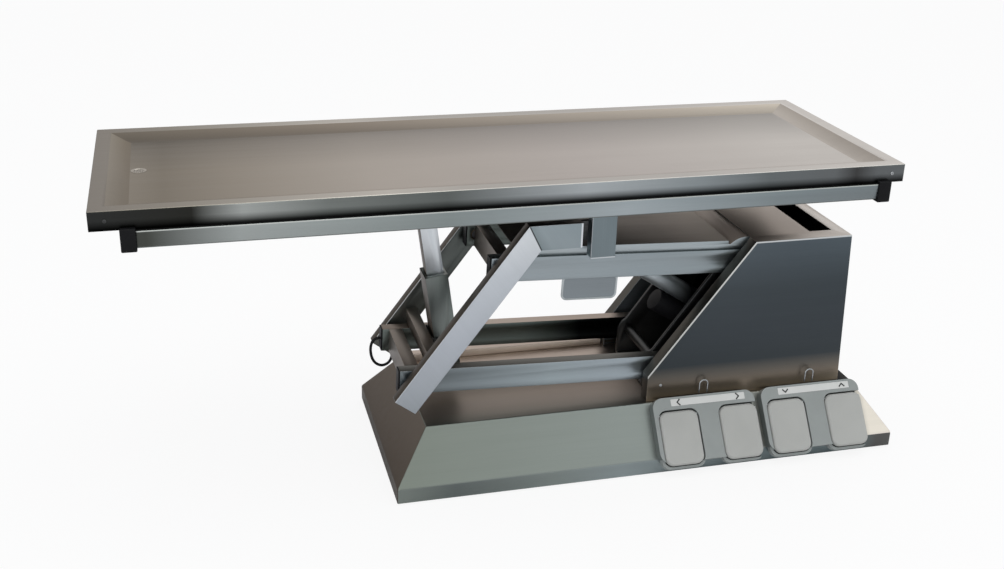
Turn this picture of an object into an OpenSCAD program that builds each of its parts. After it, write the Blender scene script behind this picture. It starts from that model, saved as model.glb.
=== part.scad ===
// Electric lift and tilt table for veterinary examination and surgery.
// X runs along the table top, Y across it and Z up, in millimetres. The origin is on the floor,
// midway between the table top's left end and the base's right end, which reach furthest.
// The model stands at its lowest height with the top level.

/* [Table top] */
// Length of the table top
tray_len = 1500; // [1380:10:1560]
// Width of the table top
tray_w = 500; // [480:5:600]
// Height of the apron that is folded down all round
apron_h = 35; // [33:1:42]
// Thickness of the top's sheet
tray_sheet = 2; // [1.5:0.5:2.5]
// Width of the flat rim
rim_w = 25; // [18:1:32]
// Width of the border that slopes down to the floor of the top
border_w = 36; // [28:1:45]
// Depth of the floor below the rim
basin_drop = 12; // [9:1:15]
// Width of the hem under the apron
hem_w = 14; // [12:1:16]
// How far the top reaches past the base's left end
tray_overhang = 512; // [480:1:560]
// Distance of the drain from the left end
drain_inset = 80; // [75:1:110]
// Radius of the hole for the drain
drain_hole_r = 14; // [12:0.5:16]

/* [Side rails] */
// Height of the rail's bar
rail_h = 30; // [25:1:32]
// Thickness of the rail's bar
rail_t = 10; // [8:1:12]
// How far the rail stands out past the apron
rail_proud = 8; // [6:0.5:9]
// Distance of the rail's left cap from the top's left end
rail_left = 49; // [40:1:70]
// Distance of the rail's right cap from the top's right end
rail_right = 31; // [25:1:70]
// Length of each end cap along the rail
cap_len = 26; // [20:1:32]

/* [Base] */
// Length of the base on the floor
base_len = 1072; // [1040:1:1120]
// Width of the base on the floor
base_w = 450; // [436:1:460]
// Height of the upright lip around the base
lip_h = 34; // [28:1:40]
// Height of the deck above the floor
deck_h = 128; // [124:1:136]
// How far the sloping sides run inwards
skirt_run = 70; // [66:1:74]
// Thickness of the base's sheet
skirt_sheet = 2; // [1.5:0.5:3]
// Gap under the lip, which the feet open
floor_gap = 3; // [2:0.5:6]

/* [Housing] */
// Length of the housing over the pivots
housing_len = 424; // [410:1:436]
// Width of the housing
housing_w = 298; // [292:1:302]
// Height of the housing above the deck
housing_h = 337; // [332:1:345]
// Height of the upright nose above the deck
nose_h = 57; // [50:1:64]
// Length of deck behind the top of the housing
housing_back = 44; // [38:1:50]
// How far the housing's back leans out towards the deck
back_run = 14; // [0:1:20]
// Thickness of the housing's sheet
housing_sheet = 2; // [1.5:0.5:2.5]
// Width of the return flange along the open front
flange_w = 29; // [22:1:30]
// Length of the slot in the housing's top, along the table
slot_len = 49; // [35:1:60]
// Width of the slot across the table
slot_w = 224; // [160:2:240]

/* [Lifting linkage] */
// Width of the rectangular tube that the linkage is made of
tube_h = 50; // [46:1:52]
// Depth of that tube across the table
tube_d = 25; // [23:0.5:26]
// Wall of that tube
tube_wall = 2.5; // [2:0.25:3]
// Half of the clear width between the two links of a pair
link_y = 88; // [86:0.5:90]
// Half of the clear width between the two arms
arm_y = 125; // [124:0.5:127]
// Distance between the two pivots of one link
link_len = 518; // [505:1:530]
// Angle by which the links rise to the left at the lowest height, in degrees
link_tilt = 2.1; // [1.5:0.1:3]
// Distance between the upper and the lower pivots
pivot_pitch = 281; // [278:1:284]
// Angle of the arms and of the housing's sloping edge, in degrees
arm_angle = 53; // [52:0.5:54]
// Distance of the lower fixed pivot behind the housing's nose
pivot_in = 41; // [40:1:44]
// Height of the lower fixed pivot above the deck
pivot_up = 59; // [57:1:62]
// Radius of the pivot shafts
shaft_r = 10; // [9:0.25:11]
// Length of an arm below its lower pivot
arm_foot = 45; // [40:1:48]
// Height of the arm's upper stub above the upper pivot
stub_rise = 75; // [73:1:78]
// Length of the stub from the middle of its mitre
stub_len = 94; // [90:1:105]

/* [Tilting] */
// Width of the gap between the stub and the hanging post
post_gap = 18; // [15:1:18]
// Length of the hanging post below the tilting pivot
post_drop = 50; // [47:1:51]
// Height of the top's rim above the tilting pivot
tray_rise = 140; // [138:1:146]
// Radius of the tilting pivot's pins
tilt_pin_r = 8; // [7:0.5:9]
// Width of the tilting column's sleeve, along the table
sleeve_w = 46; // [44:1:48]
// Depth of the sleeve, across the table
sleeve_d = 60; // [56:1:64]
// Width of the inner column, along the table
column_w = 34; // [32:1:35]
// Depth of the inner column, across the table
column_d = 36; // [34:1:38]

/* [Lifting actuator] */
// Radius of the lifting actuator's outer tube
cyl_r = 20.5; // [19:0.5:22]
// Radius of its rod
rod_r = 11; // [10:0.5:12]
// Length of the outer tube from its pivot
cyl_len = 318; // [305:1:325]

/* [Foot pedals] */
// Width of one twin pedal unit
unit_w = 226; // [220:1:232]
// Length of a unit up the slope
unit_len = 137; // [132:1:142]
// Height of a unit above the slope
unit_h = 21; // [19:0.5:23]
// Width of a pedal
pedal_w = 84; // [78:1:88]
// Length of a pedal up the slope
pedal_len = 116; // [108:1:118]
// How far a pedal's top stands above its unit
pedal_proud = 4; // [3:0.5:5]

/* [Hidden] */

// Overrun of every cut past the face that it opens
cut = 1;
// Roundness of bores, shafts and corners
$fn = 48;
// Clearance of a shaft in its bore, and between faces that slide
shaft_play = 0.08;
slide_gap = 0.3;
// Height above which no prism of the model needs to reach
prism_h = tray_top_z() + deck_h;

// Colours
steel = [0.66, 0.67, 0.68];
steel_warm = [0.63, 0.60, 0.57];
steel_dark = [0.33, 0.35, 0.37];
black = [0.04, 0.04, 0.05];
pedal_grey = [0.60, 0.61, 0.59];
bronze = [0.62, 0.50, 0.30];

// Where the large pieces stand along the table
reach = tray_overhang + base_len;
tray_x0 = -reach / 2;
base_x0 = tray_x0 + tray_overhang;
base_x1 = base_x0 + base_len;
tray_cx = tray_x0 + tray_len / 2;
base_cx = base_x0 + base_len / 2;
deck_x0 = base_x0 + skirt_run;
deck_x1 = base_x1 - skirt_run;
deck_w = base_w - 2 * skirt_run;
skirt_angle = atan2(deck_h - lip_h, skirt_run);
slope_len = norm([deck_h - lip_h, skirt_run]);
housing_x1 = deck_x1 - housing_back;
housing_x0 = housing_x1 - housing_len;
housing_top = deck_h + housing_h;

// Pivots of the linkage, as [x, z]
function at_angle(p, len, a) = [p[0] + len * cos(a), p[1] + len * sin(a)];
fixed_low = [housing_x0 + pivot_in, deck_h + pivot_up];
fixed_high = at_angle(fixed_low, pivot_pitch, arm_angle);
arm_low = at_angle(fixed_low, link_len, 180 - link_tilt);
arm_high = at_angle(arm_low, pivot_pitch, arm_angle);
mitre = [arm_high[0] + stub_rise / tan(arm_angle), arm_high[1] + stub_rise];
stub_x1 = mitre[0] + stub_len;
tilt_pivot = [stub_x1 + post_gap + tube_h / 2, mitre[1]];
function tray_top_z() = deck_h + pivot_up + pivot_pitch * sin(arm_angle)
    + link_len * sin(link_tilt) + stub_rise + tray_rise;
tray_top = tray_top_z();
tray_bottom = tray_top - apron_h;
floor_top = tray_top - basin_drop;
floor_x = tray_len / 2 - rim_w - border_w;
floor_y = tray_w / 2 - rim_w - border_w;

// Linkage details
link_left = 31;
upper_link_left = 20;
link_right = 27;
post_play = 0.5;
post_y = arm_y + post_play;
bush_wall = 2.5;
bush_r = shaft_r + bush_wall;
bush_flange_w = 4;
tower_t = 8;
tower_gap = 4;
tower_y = link_y - tower_gap - tower_t;
tower_margin = 26;
tower_foot = 62;
tower_foot_w = 26;
tower_foot_t = 8;
washer_t = 3.5;
washer_r = 18;
pin_shoulder_r = 17;
ear_t = 10;
ear_r = 20;
ear_left = 92;
plug_depth = 18;
plug_head = 3;
cross_w = 28;
lower_cross_left = 18;
upper_cross_left = 4;
brace_w = 24;
brace_h = 28;
brace_lift = 27;
brace_in = 25.5;

// Base details
beam_w = 25;
beam_h = 50;
beam_y = 124;
beam_end = 6;
beam_top = deck_h - skirt_sheet;
cross_beam_places_share = [0.0, 0.36, 0.68, 1.0];
leg_side = 25;
leg_bottom = 24;
foot_pad_r = 22;
foot_pad_h = 8;
foot_stem_r = 6;
foot_stem_top = 44;
foot_collar_r = 10;

// Housing details
deck_flange = 16;
slot_back = 28;
housing_screw_r = 3.2;
housing_screw_h = 2;
screw_in = 29;
screw_up = 35;
box_len = 56;
box_w = 220;
box_h = 200;
box_gap = 12;
duct_w = 20;
duct_h = 13;
duct_end = 2;
inlet_w = 48;
inlet_h = 28;
inlet_flange = 5;
inlet_t = 2;
inlet_depth = 24;
inlet_socket_w = 26;
inlet_socket_h = 17;
inlet_socket_depth = 16;
inlet_y = 60;
inlet_up = 60;
pad_in = 2;
pad_t = 3;

// Lifting actuator details
jack_back = 265;
jack_foot_in = 133;
jack_foot_up = 69;
jack_foot = [housing_x1 - jack_foot_in, deck_h + jack_foot_up];
jack_pin_r = 6;
jack_eye_r = 15;
jack_lug_t = 6;
jack_lug_y = 15;
beam_past_jack = 34;
jack_play = 6;
jack_top = at_angle(fixed_high, jack_back, 180 - link_tilt);
jack_run = jack_foot - jack_top;
jack_len = norm(jack_run);
jack_angle = atan2(-jack_run[1], jack_run[0]);
bracket_t = 6;
bracket_w = 44;
bracket_foot_w = 10;
rod_top = 212;
rod_stroke_room = 40;
motor_r = 23;
motor_len = 110;
motor_from = 170;
motor_gap = 2;
motor_off = cyl_r + motor_r + motor_gap;
gearbox_len = 34;
gearbox_rim = 6;
gearbox_y = motor_r + gearbox_rim / 2;

// Tilting details
brace_x0 = arm_low[0] + brace_in;
brace_z0 = arm_low[1] + brace_lift;
sleeve_gap_x = 7.3;
column_lean = 7.9;
sleeve_pivot = [brace_x0 + brace_w + sleeve_gap_x + sleeve_w / 2, brace_z0 + brace_h / 2];
stiffener_w = 25;
stiffener_h = 23;
stiffener_in = 100;
stiffener_top = floor_top - tray_sheet;
head_drop = 24;
column_pivot_z = stiffener_top - stiffener_h - head_drop;
column_run = (column_pivot_z - sleeve_pivot[1]) / cos(column_lean);
column_pivot = [sleeve_pivot[0] - column_run * sin(column_lean), column_pivot_z];
sleeve_up = 147;
sleeve_down = 78;
sleeve_floor = 6;
column_bottom = 14;
column_play = 1;
column_wall = 3;
column_cap = 30;
column_eye_r = 8.5;
head_pin_r = 5;
head_lug_t = 5;
head_lug_w = 30;
head_plate_t = 3;
head_lug_y = column_d / 2 + 1;
trunnion_r = 6;
trunnion_in = 8;
lug_t = 6;
lug_h = 25;
lug_gap = 0.5;

// Name plate and link cover
plate_from = 132;
plate_len = 117;
plate_t = 3;
plate_h = 52;
plate_flange = 12;
plate_y = 97;
plate_r = 12;
plate_rim = 4;
plate_recess = 0.8;
cover_h = 17;
cover_sheet = 2;
cover_y = 107;
cover_from = 41;
cover_len = 449;
cover_step_h = 10;
nose_r = 50;
nose_reach = 32;
nose_steps = 12;

// Rails and small parts of the top
rail_top = tray_bottom - slide_gap;
rail_y1 = tray_w / 2 + rail_proud;
rail_y0 = rail_y1 - rail_t;
rail_x0 = tray_x0 + rail_left + cap_len;
rail_x1 = tray_x0 + tray_len - rail_right - cap_len;
cap_below = 6;
cap_above = 5;
cap_side = 4;
cap_gap = 0.3;
bracket_count = 5;
rail_bracket_len = 30;
rail_bracket_h = 26;
tray_screw_r = 3.5;
tray_screw_h = 1.8;
tray_screw_in = 27;
drain_gap = 0.3;
drain_dish_r = 11;
drain_dish_depth = 1;
drain_nut_r = 20;
drain_nut_h = 8;
spigot_r = 12;
spigot_bore_r = 9.5;
spigot_len = 55;
strainer_holes = 6;
strainer_hole_r = 2;
strainer_ring_r = 6;

// Pedal details
unit_gap = 15;
unit_low = -12;
unit_rim = 7;
unit_r = 16;
unit_x0 = housing_x0 + 3;
pedal_low = -24;
pedal_r = 14;
pedal_t = 12;
pedal_side_gap = 3;
pedal_pin_r = 3;
pedal_pin_in = 8;
pedal_pin_up = 15;
pedal_pin_end = 6;
well_floor = 3;
label_w = 165;
label_in = 40;
label_h = 15;
label_t = 0.8;
label_low = 102;
hanger_r = 1.5;
hanger_w = 18;
hanger_h = 30;
hanger_in = 8;
unit_starts = [unit_x0, unit_x0 + unit_w + unit_gap];
pedal_centres = [unit_rim + pedal_side_gap + pedal_w / 2, unit_w - pedal_w / 2];
hanger_at = (pedal_centres[0] + pedal_centres[1]) / 2;

// Cable that loops out of the far lower link
cable_r = 3;
cable_sides = 8;
cable_y = link_y + tube_d / 2;
cable_start_x = -link_len - link_left - plug_head;
cable_reach = 27;
grommet_r = 5;
grommet_h = 3;

// Rectangular tube along X, Y or Z that starts at the origin corner
module tube(size, wall, axis) {
    inner = [for (i = [0:2]) i == axis ? size[i] + 2 * cut : size[i] - 2 * wall];
    place = [for (i = [0:2]) i == axis ? -cut : wall];
    difference() {
        cube(size);
        translate(place) cube(inner);
    }
}

// A plate in the XZ plane, from y to y + t
module upright(y, t) {
    translate([0, y + t, 0]) rotate([90, 0, 0]) linear_extrude(t) children();
}

// A round bar across the table, from y0 to y1, at p = [x, z]
module cross_bar(p, r, y0, y1) {
    translate([p[0], y0, p[1]]) rotate([-90, 0, 0]) cylinder(r = r, h = y1 - y0);
}

// A closed frame of one section, mitred at its corners; the section's x is the distance inwards
module mitred_frame(lx, ly, deep) {
    for (turn = [0, 180]) rotate([0, 0, turn]) {
        mitred_side(lx, ly, deep) children();
        rotate([0, 0, 90]) mitred_side(ly, lx, deep) children();
    }
}

module mitred_side(len, across, deep) {
    intersection() {
        translate([-len / 2, -across / 2, 0]) rotate([90, 0, 90]) linear_extrude(len) children();
        linear_extrude(prism_h) polygon([
            [-len / 2, -across / 2],
            [len / 2, -across / 2],
            [len / 2 - deep, -across / 2 + deep],
            [-len / 2 + deep, -across / 2 + deep]
        ]);
    }
}

// A rectangle with round corners, made of squares and circles
module round_rect(w, h, r) {
    translate([r, 0]) square([w - 2 * r, h]);
    translate([0, r]) square([w, h - 2 * r]);
    for (x = [r, w - r], y = [r, h - r]) translate([x, y]) circle(r);
}

// Both sides of the table, as a mirrored pair
module both_sides() {
    children();
    mirror([0, 1, 0]) children();
}

// The frame of a link: its origin is the fixed pivot and -X runs to the arm
module along_link(pivot) {
    translate([pivot[0], 0, pivot[1]]) rotate([0, link_tilt, 0]) children();
}

// The frame of the lifting actuator: +X runs from its upper pivot to its foot
module along_jack() {
    translate([jack_top[0], 0, jack_top[1]]) rotate([0, jack_angle, 0]) children();
}

// The frame of the tilting column: +Z runs up along it from its lower pivot
module along_column() {
    translate([sleeve_pivot[0], 0, sleeve_pivot[1]]) rotate([0, -column_lean, 0]) children();
}

// The frame of the base's near slope: +Y runs up the slope and +Z out of it
module on_slope() {
    translate([0, -base_w / 2, lip_h]) rotate([skirt_angle, 0, 0]) children();
}

// Section of the base's skirt, from its lip to the deck's edge
module skirt_section() {
    t = skirt_sheet;
    half = (90 - skirt_angle) / 2;
    polygon([
        [0, floor_gap],
        [0, lip_h],
        [skirt_run, deck_h],
        [skirt_run + t * tan(skirt_angle / 2) + t, deck_h],
        [skirt_run + t * tan(skirt_angle / 2) + t, deck_h - t],
        [skirt_run + t * tan(skirt_angle / 2), deck_h - t],
        [t, lip_h - t * tan(half)],
        [t, floor_gap]
    ]);
}

// Pressed cover of the base: lip, four slopes and deck
module base_skirt() {
    inside = skirt_run + skirt_sheet;
    color(steel_warm) {
        translate([base_cx, 0, 0])
            mitred_frame(base_len, base_w, skirt_run + 4 * skirt_sheet) skirt_section();
        translate([base_x0 + inside, -base_w / 2 + inside, deck_h - skirt_sheet])
            cube([base_len - 2 * inside, base_w - 2 * inside, skirt_sheet]);
    }
}

// One long beam of the chassis under the deck
module base_beam() {
    x0 = deck_x0 + beam_end;
    len = deck_x1 - deck_x0 - 2 * beam_end;
    translate([x0, beam_y, beam_top - beam_h]) tube([len, beam_w, beam_h], tube_wall, 0);
}

module base_beam_near() {
    color(steel_dark) mirror([0, 1, 0]) base_beam();
}

module base_beam_far() {
    color(steel_dark) base_beam();
}

// Cross beams between the two long beams
module base_cross_beams() {
    run = deck_x1 - deck_x0 - 2 * beam_end - beam_w;
    color(steel_dark) for (share = cross_beam_places_share)
        translate([deck_x0 + beam_end + run * share, -beam_y, beam_top - beam_h])
            tube([beam_w, 2 * beam_y, beam_h], tube_wall, 1);
}

// Where the four feet stand, as [x, y]
foot_places = [for (x = [deck_x0 + beam_end + leg_side / 2, deck_x1 - beam_end - leg_side / 2],
                    y = [-beam_y - beam_w / 2, beam_y + beam_w / 2]) [x, y]];

// Short square legs that carry the beams down to the feet
module foot_legs() {
    color(steel_dark) for (p = foot_places) difference() {
        translate([p[0] - leg_side / 2, p[1] - leg_side / 2, leg_bottom])
            cube([leg_side, leg_side, beam_top - beam_h - leg_bottom]);
        translate([p[0], p[1], leg_bottom - cut])
            cylinder(r = foot_stem_r + shaft_play, h = foot_stem_top - leg_bottom + 2 * cut);
    }
}

// Screwed feet with round pads
module levelling_feet() {
    color(black) for (p = foot_places) translate([p[0], p[1], 0]) {
        cylinder(r = foot_pad_r, h = foot_pad_h);
        cylinder(r = foot_collar_r, h = leg_bottom - slide_gap);
        cylinder(r = foot_stem_r, h = foot_stem_top);
    }
}

// One cheek of the tower that holds the two fixed pivots
module pivot_tower() {
    m = tower_margin;
    color(steel_dark) difference() {
        union() {
            upright(tower_y, tower_t) {
                polygon([
                    [fixed_low[0] - m, deck_h + tower_foot_t],
                    [fixed_low[0] - m, fixed_low[1]],
                    [fixed_high[0] - m * sin(arm_angle), fixed_high[1] + m * cos(arm_angle)],
                    [fixed_high[0] + m, fixed_high[1]],
                    [fixed_low[0] + tower_foot + m, deck_h + tower_foot_t]
                ]);
                translate(fixed_high) circle(m);
                translate(fixed_low) circle(m);
            }
            translate([fixed_low[0] - m, tower_y + tower_t - tower_foot_w, deck_h])
                cube([tower_foot + 2 * m, tower_foot_w, tower_foot_t]);
        }
        for (p = [fixed_low, fixed_high])
            cross_bar(p, shaft_r + shaft_play, tower_y - cut, tower_y + tower_t + cut);
    }
}

module pivot_tower_near() {
    mirror([0, 1, 0]) pivot_tower();
}

module pivot_tower_far() {
    pivot_tower();
}

// A fixed pivot shaft with a washer outside each link
module fixed_shaft(p) {
    y1 = link_y + tube_d + slide_gap;
    color(steel) {
        cross_bar(p, shaft_r, -y1 - washer_t, y1 + washer_t);
        both_sides() cross_bar(p, washer_r, y1, y1 + washer_t);
    }
}

module fixed_shaft_low() {
    fixed_shaft(fixed_low);
}

module fixed_shaft_high() {
    fixed_shaft(fixed_high);
}

// Bracket on the deck with the pin that the lifting rod pushes on
module actuator_bracket() {
    y0 = jack_lug_y + slide_gap;
    top = [jack_foot[0], jack_foot[1]];
    color(steel_dark) {
        both_sides() difference() {
            upright(y0, bracket_t) {
                translate([top[0] - bracket_w / 2, deck_h + bracket_t])
                    square([bracket_w, top[1] - deck_h - bracket_t]);
                translate(top) circle(bracket_w / 2);
            }
            cross_bar(top, jack_pin_r, y0 - cut, y0 + bracket_t + cut);
        }
        translate([top[0] - bracket_w / 2 - bracket_foot_w, -y0 - bracket_t, deck_h])
            cube([bracket_w + 2 * bracket_foot_w, 2 * (y0 + bracket_t), bracket_t]);
        cross_bar(top, jack_pin_r, -y0 - 2 * bracket_t, y0 + 2 * bracket_t);
    }
}

// The frame of the housing's back: +Z runs up it from the deck and +X out of it
module on_back() {
    translate([housing_x1 + back_run, 0, deck_h])
        rotate([0, -atan2(back_run, housing_h), 0]) children();
}

// Outline of the housing's side panel in the XZ plane, drawn in by d
module housing_side(d) {
    run = (housing_h - nose_h) / tan(arm_angle);
    lean = d * tan(arm_angle / 2);
    polygon([
        [housing_x0 + d, deck_h],
        [housing_x0 + d, deck_h + nose_h - d * tan((90 - arm_angle) / 2)],
        [housing_x0 + run + lean, housing_top - d],
        [housing_x1 - d, housing_top - d],
        [housing_x1 + back_run - d, deck_h]
    ]);
}

// Folded housing: two sides, back, slotted top and the flanges round its open front
module housing_cover() {
    t = housing_sheet;
    w = housing_w;
    run = (housing_h - nose_h) / tan(arm_angle);
    color(steel_dark) difference() {
        union() {
            both_sides() {
                upright(w / 2 - t, t) housing_side(0);
                upright(w / 2 - flange_w, flange_w) difference() {
                    housing_side(0);
                    housing_side(t);
                    translate([housing_x0 + run, deck_h])
                        square([housing_len, housing_h + cut]);
                }
                translate([housing_x0 + t, w / 2 - deck_flange, deck_h])
                    cube([housing_len + back_run - 2 * t, deck_flange - t, t]);
            }
            translate([housing_x0 + run, -w / 2, housing_top - t])
                cube([housing_len - run, w, t]);
            upright(-w / 2, w) polygon([
                [housing_x1, housing_top],
                [housing_x1 + back_run, deck_h],
                [housing_x1 + back_run - t, deck_h],
                [housing_x1 - t, housing_top]
            ]);
        }
        translate([housing_x1 - slot_back - slot_len, -slot_w / 2, housing_top - t - cut])
            cube([slot_len, slot_w, t + 2 * cut]);
        on_back() translate([-t - cut, inlet_y - inlet_w / 2, inlet_up])
            cube([t + 2 * cut, inlet_w, inlet_h]);
    }
}

// Screw heads on the sides and on the back of the housing
module housing_screws() {
    color(steel) {
        both_sides() translate([housing_x0 + screw_in, housing_w / 2, deck_h + screw_up])
            rotate([-90, 0, 0]) cylinder(r = housing_screw_r, h = housing_screw_h);
        for (y = [-housing_w / 2 + screw_in, housing_w / 2 - screw_in])
            on_back() translate([0, y, screw_up])
                rotate([0, 90, 0]) cylinder(r = housing_screw_r, h = housing_screw_h);
    }
}

// Control and supply box inside the housing, and the cable duct along the deck's far edge
module control_box() {
    x1 = housing_x1 - housing_sheet - box_gap - inlet_depth;
    color(black) {
        translate([x1 - box_len, -box_w / 2, deck_h]) cube([box_len, box_w, box_h]);
        translate([deck_x0 + duct_end, deck_w / 2 - duct_w - duct_end, deck_h])
            cube([housing_x0 - deck_x0 - 2 * duct_end, duct_w, duct_h]);
    }
}

// Mains inlet in the housing's back, and the rubber pad on the deck under it
module mains_inlet() {
    inside = inlet_depth - housing_sheet;
    color(black) translate([housing_x1 + back_run + pad_in, -housing_w / 2, deck_h])
        cube([housing_back - back_run - 2 * pad_in, housing_w, pad_t]);
    color(black) on_back() translate([0, 0, inlet_up]) difference() {
        union() {
            translate([0, inlet_y - inlet_w / 2 - inlet_flange, -inlet_flange])
                cube([inlet_t, inlet_w + 2 * inlet_flange, inlet_h + 2 * inlet_flange]);
            translate([-inside, inlet_y - inlet_w / 2 + slide_gap, slide_gap])
                cube([inside, inlet_w - 2 * slide_gap, inlet_h - 2 * slide_gap]);
        }
        translate([
            inlet_t - inlet_socket_depth,
            inlet_y - inlet_socket_w / 2,
            (inlet_h - inlet_socket_h) / 2
        ]) cube([inlet_socket_depth + cut, inlet_socket_w, inlet_socket_h]);
    }
}

// One twin pedal unit: a moulded body with two wells that are open at the toes
module pedal_unit(x0) {
    well_w = pedal_w + 2 * pedal_side_gap;
    well_len = pedal_len + 2 * pedal_side_gap;
    pin_y = pedal_low + pedal_len - pedal_pin_in;
    color(pedal_grey) on_slope() translate([x0, 0, 0]) difference() {
        translate([0, unit_low, 0]) linear_extrude(unit_h) round_rect(unit_w, unit_len, unit_r);
        for (side = [0, 1]) translate([pedal_centres[side] - well_w / 2, 0, 0]) {
            translate([0, pedal_low - pedal_side_gap, well_floor])
                linear_extrude(unit_h)
                    round_rect(well_w + side * unit_gap, well_len, pedal_r + pedal_side_gap);
            translate([-pedal_pin_end, pin_y, pedal_pin_up]) rotate([0, 90, 0])
                cylinder(r = pedal_pin_r + shaft_play, h = well_w + 2 * pedal_pin_end);
        }
        translate([label_in, label_low, unit_h - label_t]) cube([label_w, label_h, label_t + cut]);
    }
}

module tilt_pedal_unit() {
    pedal_unit(unit_starts[0]);
}

module lift_pedal_unit() {
    pedal_unit(unit_starts[1]);
}

// Upright wire loops behind the pedal units, to lift them off by
module pedal_hangers() {
    top = unit_low + unit_len;
    straight = hanger_h - hanger_w / 2;
    color(steel) for (x0 = unit_starts) on_slope()
        translate([x0 + hanger_at, top, unit_h / 2]) rotate([-skirt_angle, 0, 0]) {
            for (side = [-1, 1]) translate([side * hanger_w / 2, 0, hanger_r])
                cylinder(r = hanger_r, h = straight - hanger_r);
            translate([0, 0, straight]) intersection() {
                rotate([90, 0, 0]) rotate_extrude() translate([hanger_w / 2, 0]) circle(hanger_r);
                translate([-hanger_w, -hanger_w, 0]) cube(2 * hanger_w);
            }
        }
}

// Label strips let into the units above the pedals
module pedal_labels() {
    color(steel) for (x0 = unit_starts) on_slope()
        translate([x0 + label_in + slide_gap, label_low + slide_gap, unit_h - label_t])
            cube([label_w - 2 * slide_gap, label_h - 2 * slide_gap, label_t]);
}

// Where a pedal's middle stands along the table: unit 0 or 1, side 0 or 1
function pedal_x(unit, side) = unit_starts[unit] + pedal_centres[side];

// One pedal: a rounded plate with the knuckle that it hinges on
module pedal(unit, side) {
    pin_y = pedal_low + pedal_len - pedal_pin_in;
    top = unit_h + pedal_proud;
    color(pedal_grey) on_slope() translate([pedal_x(unit, side), 0, 0]) difference() {
        translate([-pedal_w / 2, pedal_low, top - pedal_t])
            linear_extrude(pedal_t) round_rect(pedal_w, pedal_len, pedal_r);
        translate([-pedal_w / 2 - cut, pin_y, pedal_pin_up]) rotate([0, 90, 0])
            cylinder(r = pedal_pin_r + shaft_play, h = pedal_w + 2 * cut);
    }
}

module pedal_tilt_left() {
    pedal(0, 0);
}

module pedal_tilt_right() {
    pedal(0, 1);
}

module pedal_down() {
    pedal(1, 0);
}

module pedal_up() {
    pedal(1, 1);
}

// Hinge pins of the four pedals: held at both ends, and the right ones in the tongue alone
module pedal_pins() {
    pin_y = pedal_low + pedal_len - pedal_pin_in;
    before = pedal_w / 2 + pedal_side_gap + pedal_pin_end;
    after = [before, pedal_w / 2];
    color(steel) for (unit = [0, 1], side = [0, 1]) on_slope()
        translate([pedal_x(unit, side) - before, pin_y, pedal_pin_up])
            rotate([0, 90, 0]) cylinder(r = pedal_pin_r, h = before + after[side]);
}

// One link tube with holes for its four bushes' seats
module link_tube(pivot, left) {
    len = left + link_len + link_right;
    color(steel) along_link(pivot) difference() {
        translate([-link_len - left, link_y, -tube_h / 2])
            tube([len, tube_d, tube_h], tube_wall, 0);
        for (x = [0, -link_len])
            cross_bar([x, 0], bush_r + shaft_play, link_y - cut, link_y + tube_d + cut);
    }
}

module lower_link_near() {
    mirror([0, 1, 0]) link_tube(fixed_low, link_left);
}

module lower_link_far() {
    link_tube(fixed_low, link_left);
}

module upper_link_near() {
    mirror([0, 1, 0]) link_tube(fixed_high, upper_link_left);
}

module upper_link_far() {
    link_tube(fixed_high, upper_link_left);
}

// Tube that joins the two links of a pair at the arms' pivots
module link_cross_tube(pivot, left) {
    color(steel_warm) along_link(pivot) translate([-link_len - left, -link_y, -tube_h / 2])
        tube([cross_w, 2 * link_y, tube_h], tube_wall, 1);
}

module lower_cross_tube() {
    link_cross_tube(fixed_low, lower_cross_left);
}

module upper_cross_tube() {
    link_cross_tube(fixed_high, upper_cross_left);
}

// Bushes of one pair of links: a flange faces the tower on one end and the arm on the other
module link_bushes(pivot) {
    y0 = link_y;
    y1 = link_y + tube_d;
    tower_side = tower_gap - slide_gap;
    color(bronze) along_link(pivot) both_sides() {
        bush([0, 0], y0 - tower_side, y0, y0 - tower_side, y1);
        bush([-link_len, 0], y1, y1 + bush_flange_w, y0, y1 + bush_flange_w);
    }
}

module bush(p, flange_y0, flange_y1, y0, y1) {
    difference() {
        union() {
            cross_bar(p, bush_r, y0, y1);
            cross_bar(p, bush_r + bush_wall, flange_y0, flange_y1);
        }
        cross_bar(p, shaft_r + shaft_play, y0 - cut, y1 + cut);
    }
}

module lower_link_bushes() {
    link_bushes(fixed_low);
}

module upper_link_bushes() {
    link_bushes(fixed_high);
}

// Plastic plugs in the open left ends of a pair of links
module link_plugs(pivot, left) {
    play = shaft_play;
    color(black) along_link(pivot) both_sides() {
        translate([-link_len - left - plug_head, link_y, -tube_h / 2])
            cube([plug_head, tube_d, tube_h]);
        translate([-link_len - left, link_y + tube_wall + play, -tube_h / 2 + tube_wall + play])
            cube([
                min(plug_depth, left - bush_r) - 2 * cut,
                tube_d - 2 * tube_wall - 2 * play,
                tube_h - 2 * tube_wall - 2 * play
            ]);
    }
}

module lower_link_plugs() {
    link_plugs(fixed_low, link_left);
    color(black) along_link(fixed_low)
        translate([cable_start_x + cable_reach, cable_y, -tube_h / 2 - grommet_h])
            cylinder(r = grommet_r, h = grommet_h);
}

module upper_link_plugs() {
    link_plugs(fixed_high, upper_link_left);
}

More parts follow.
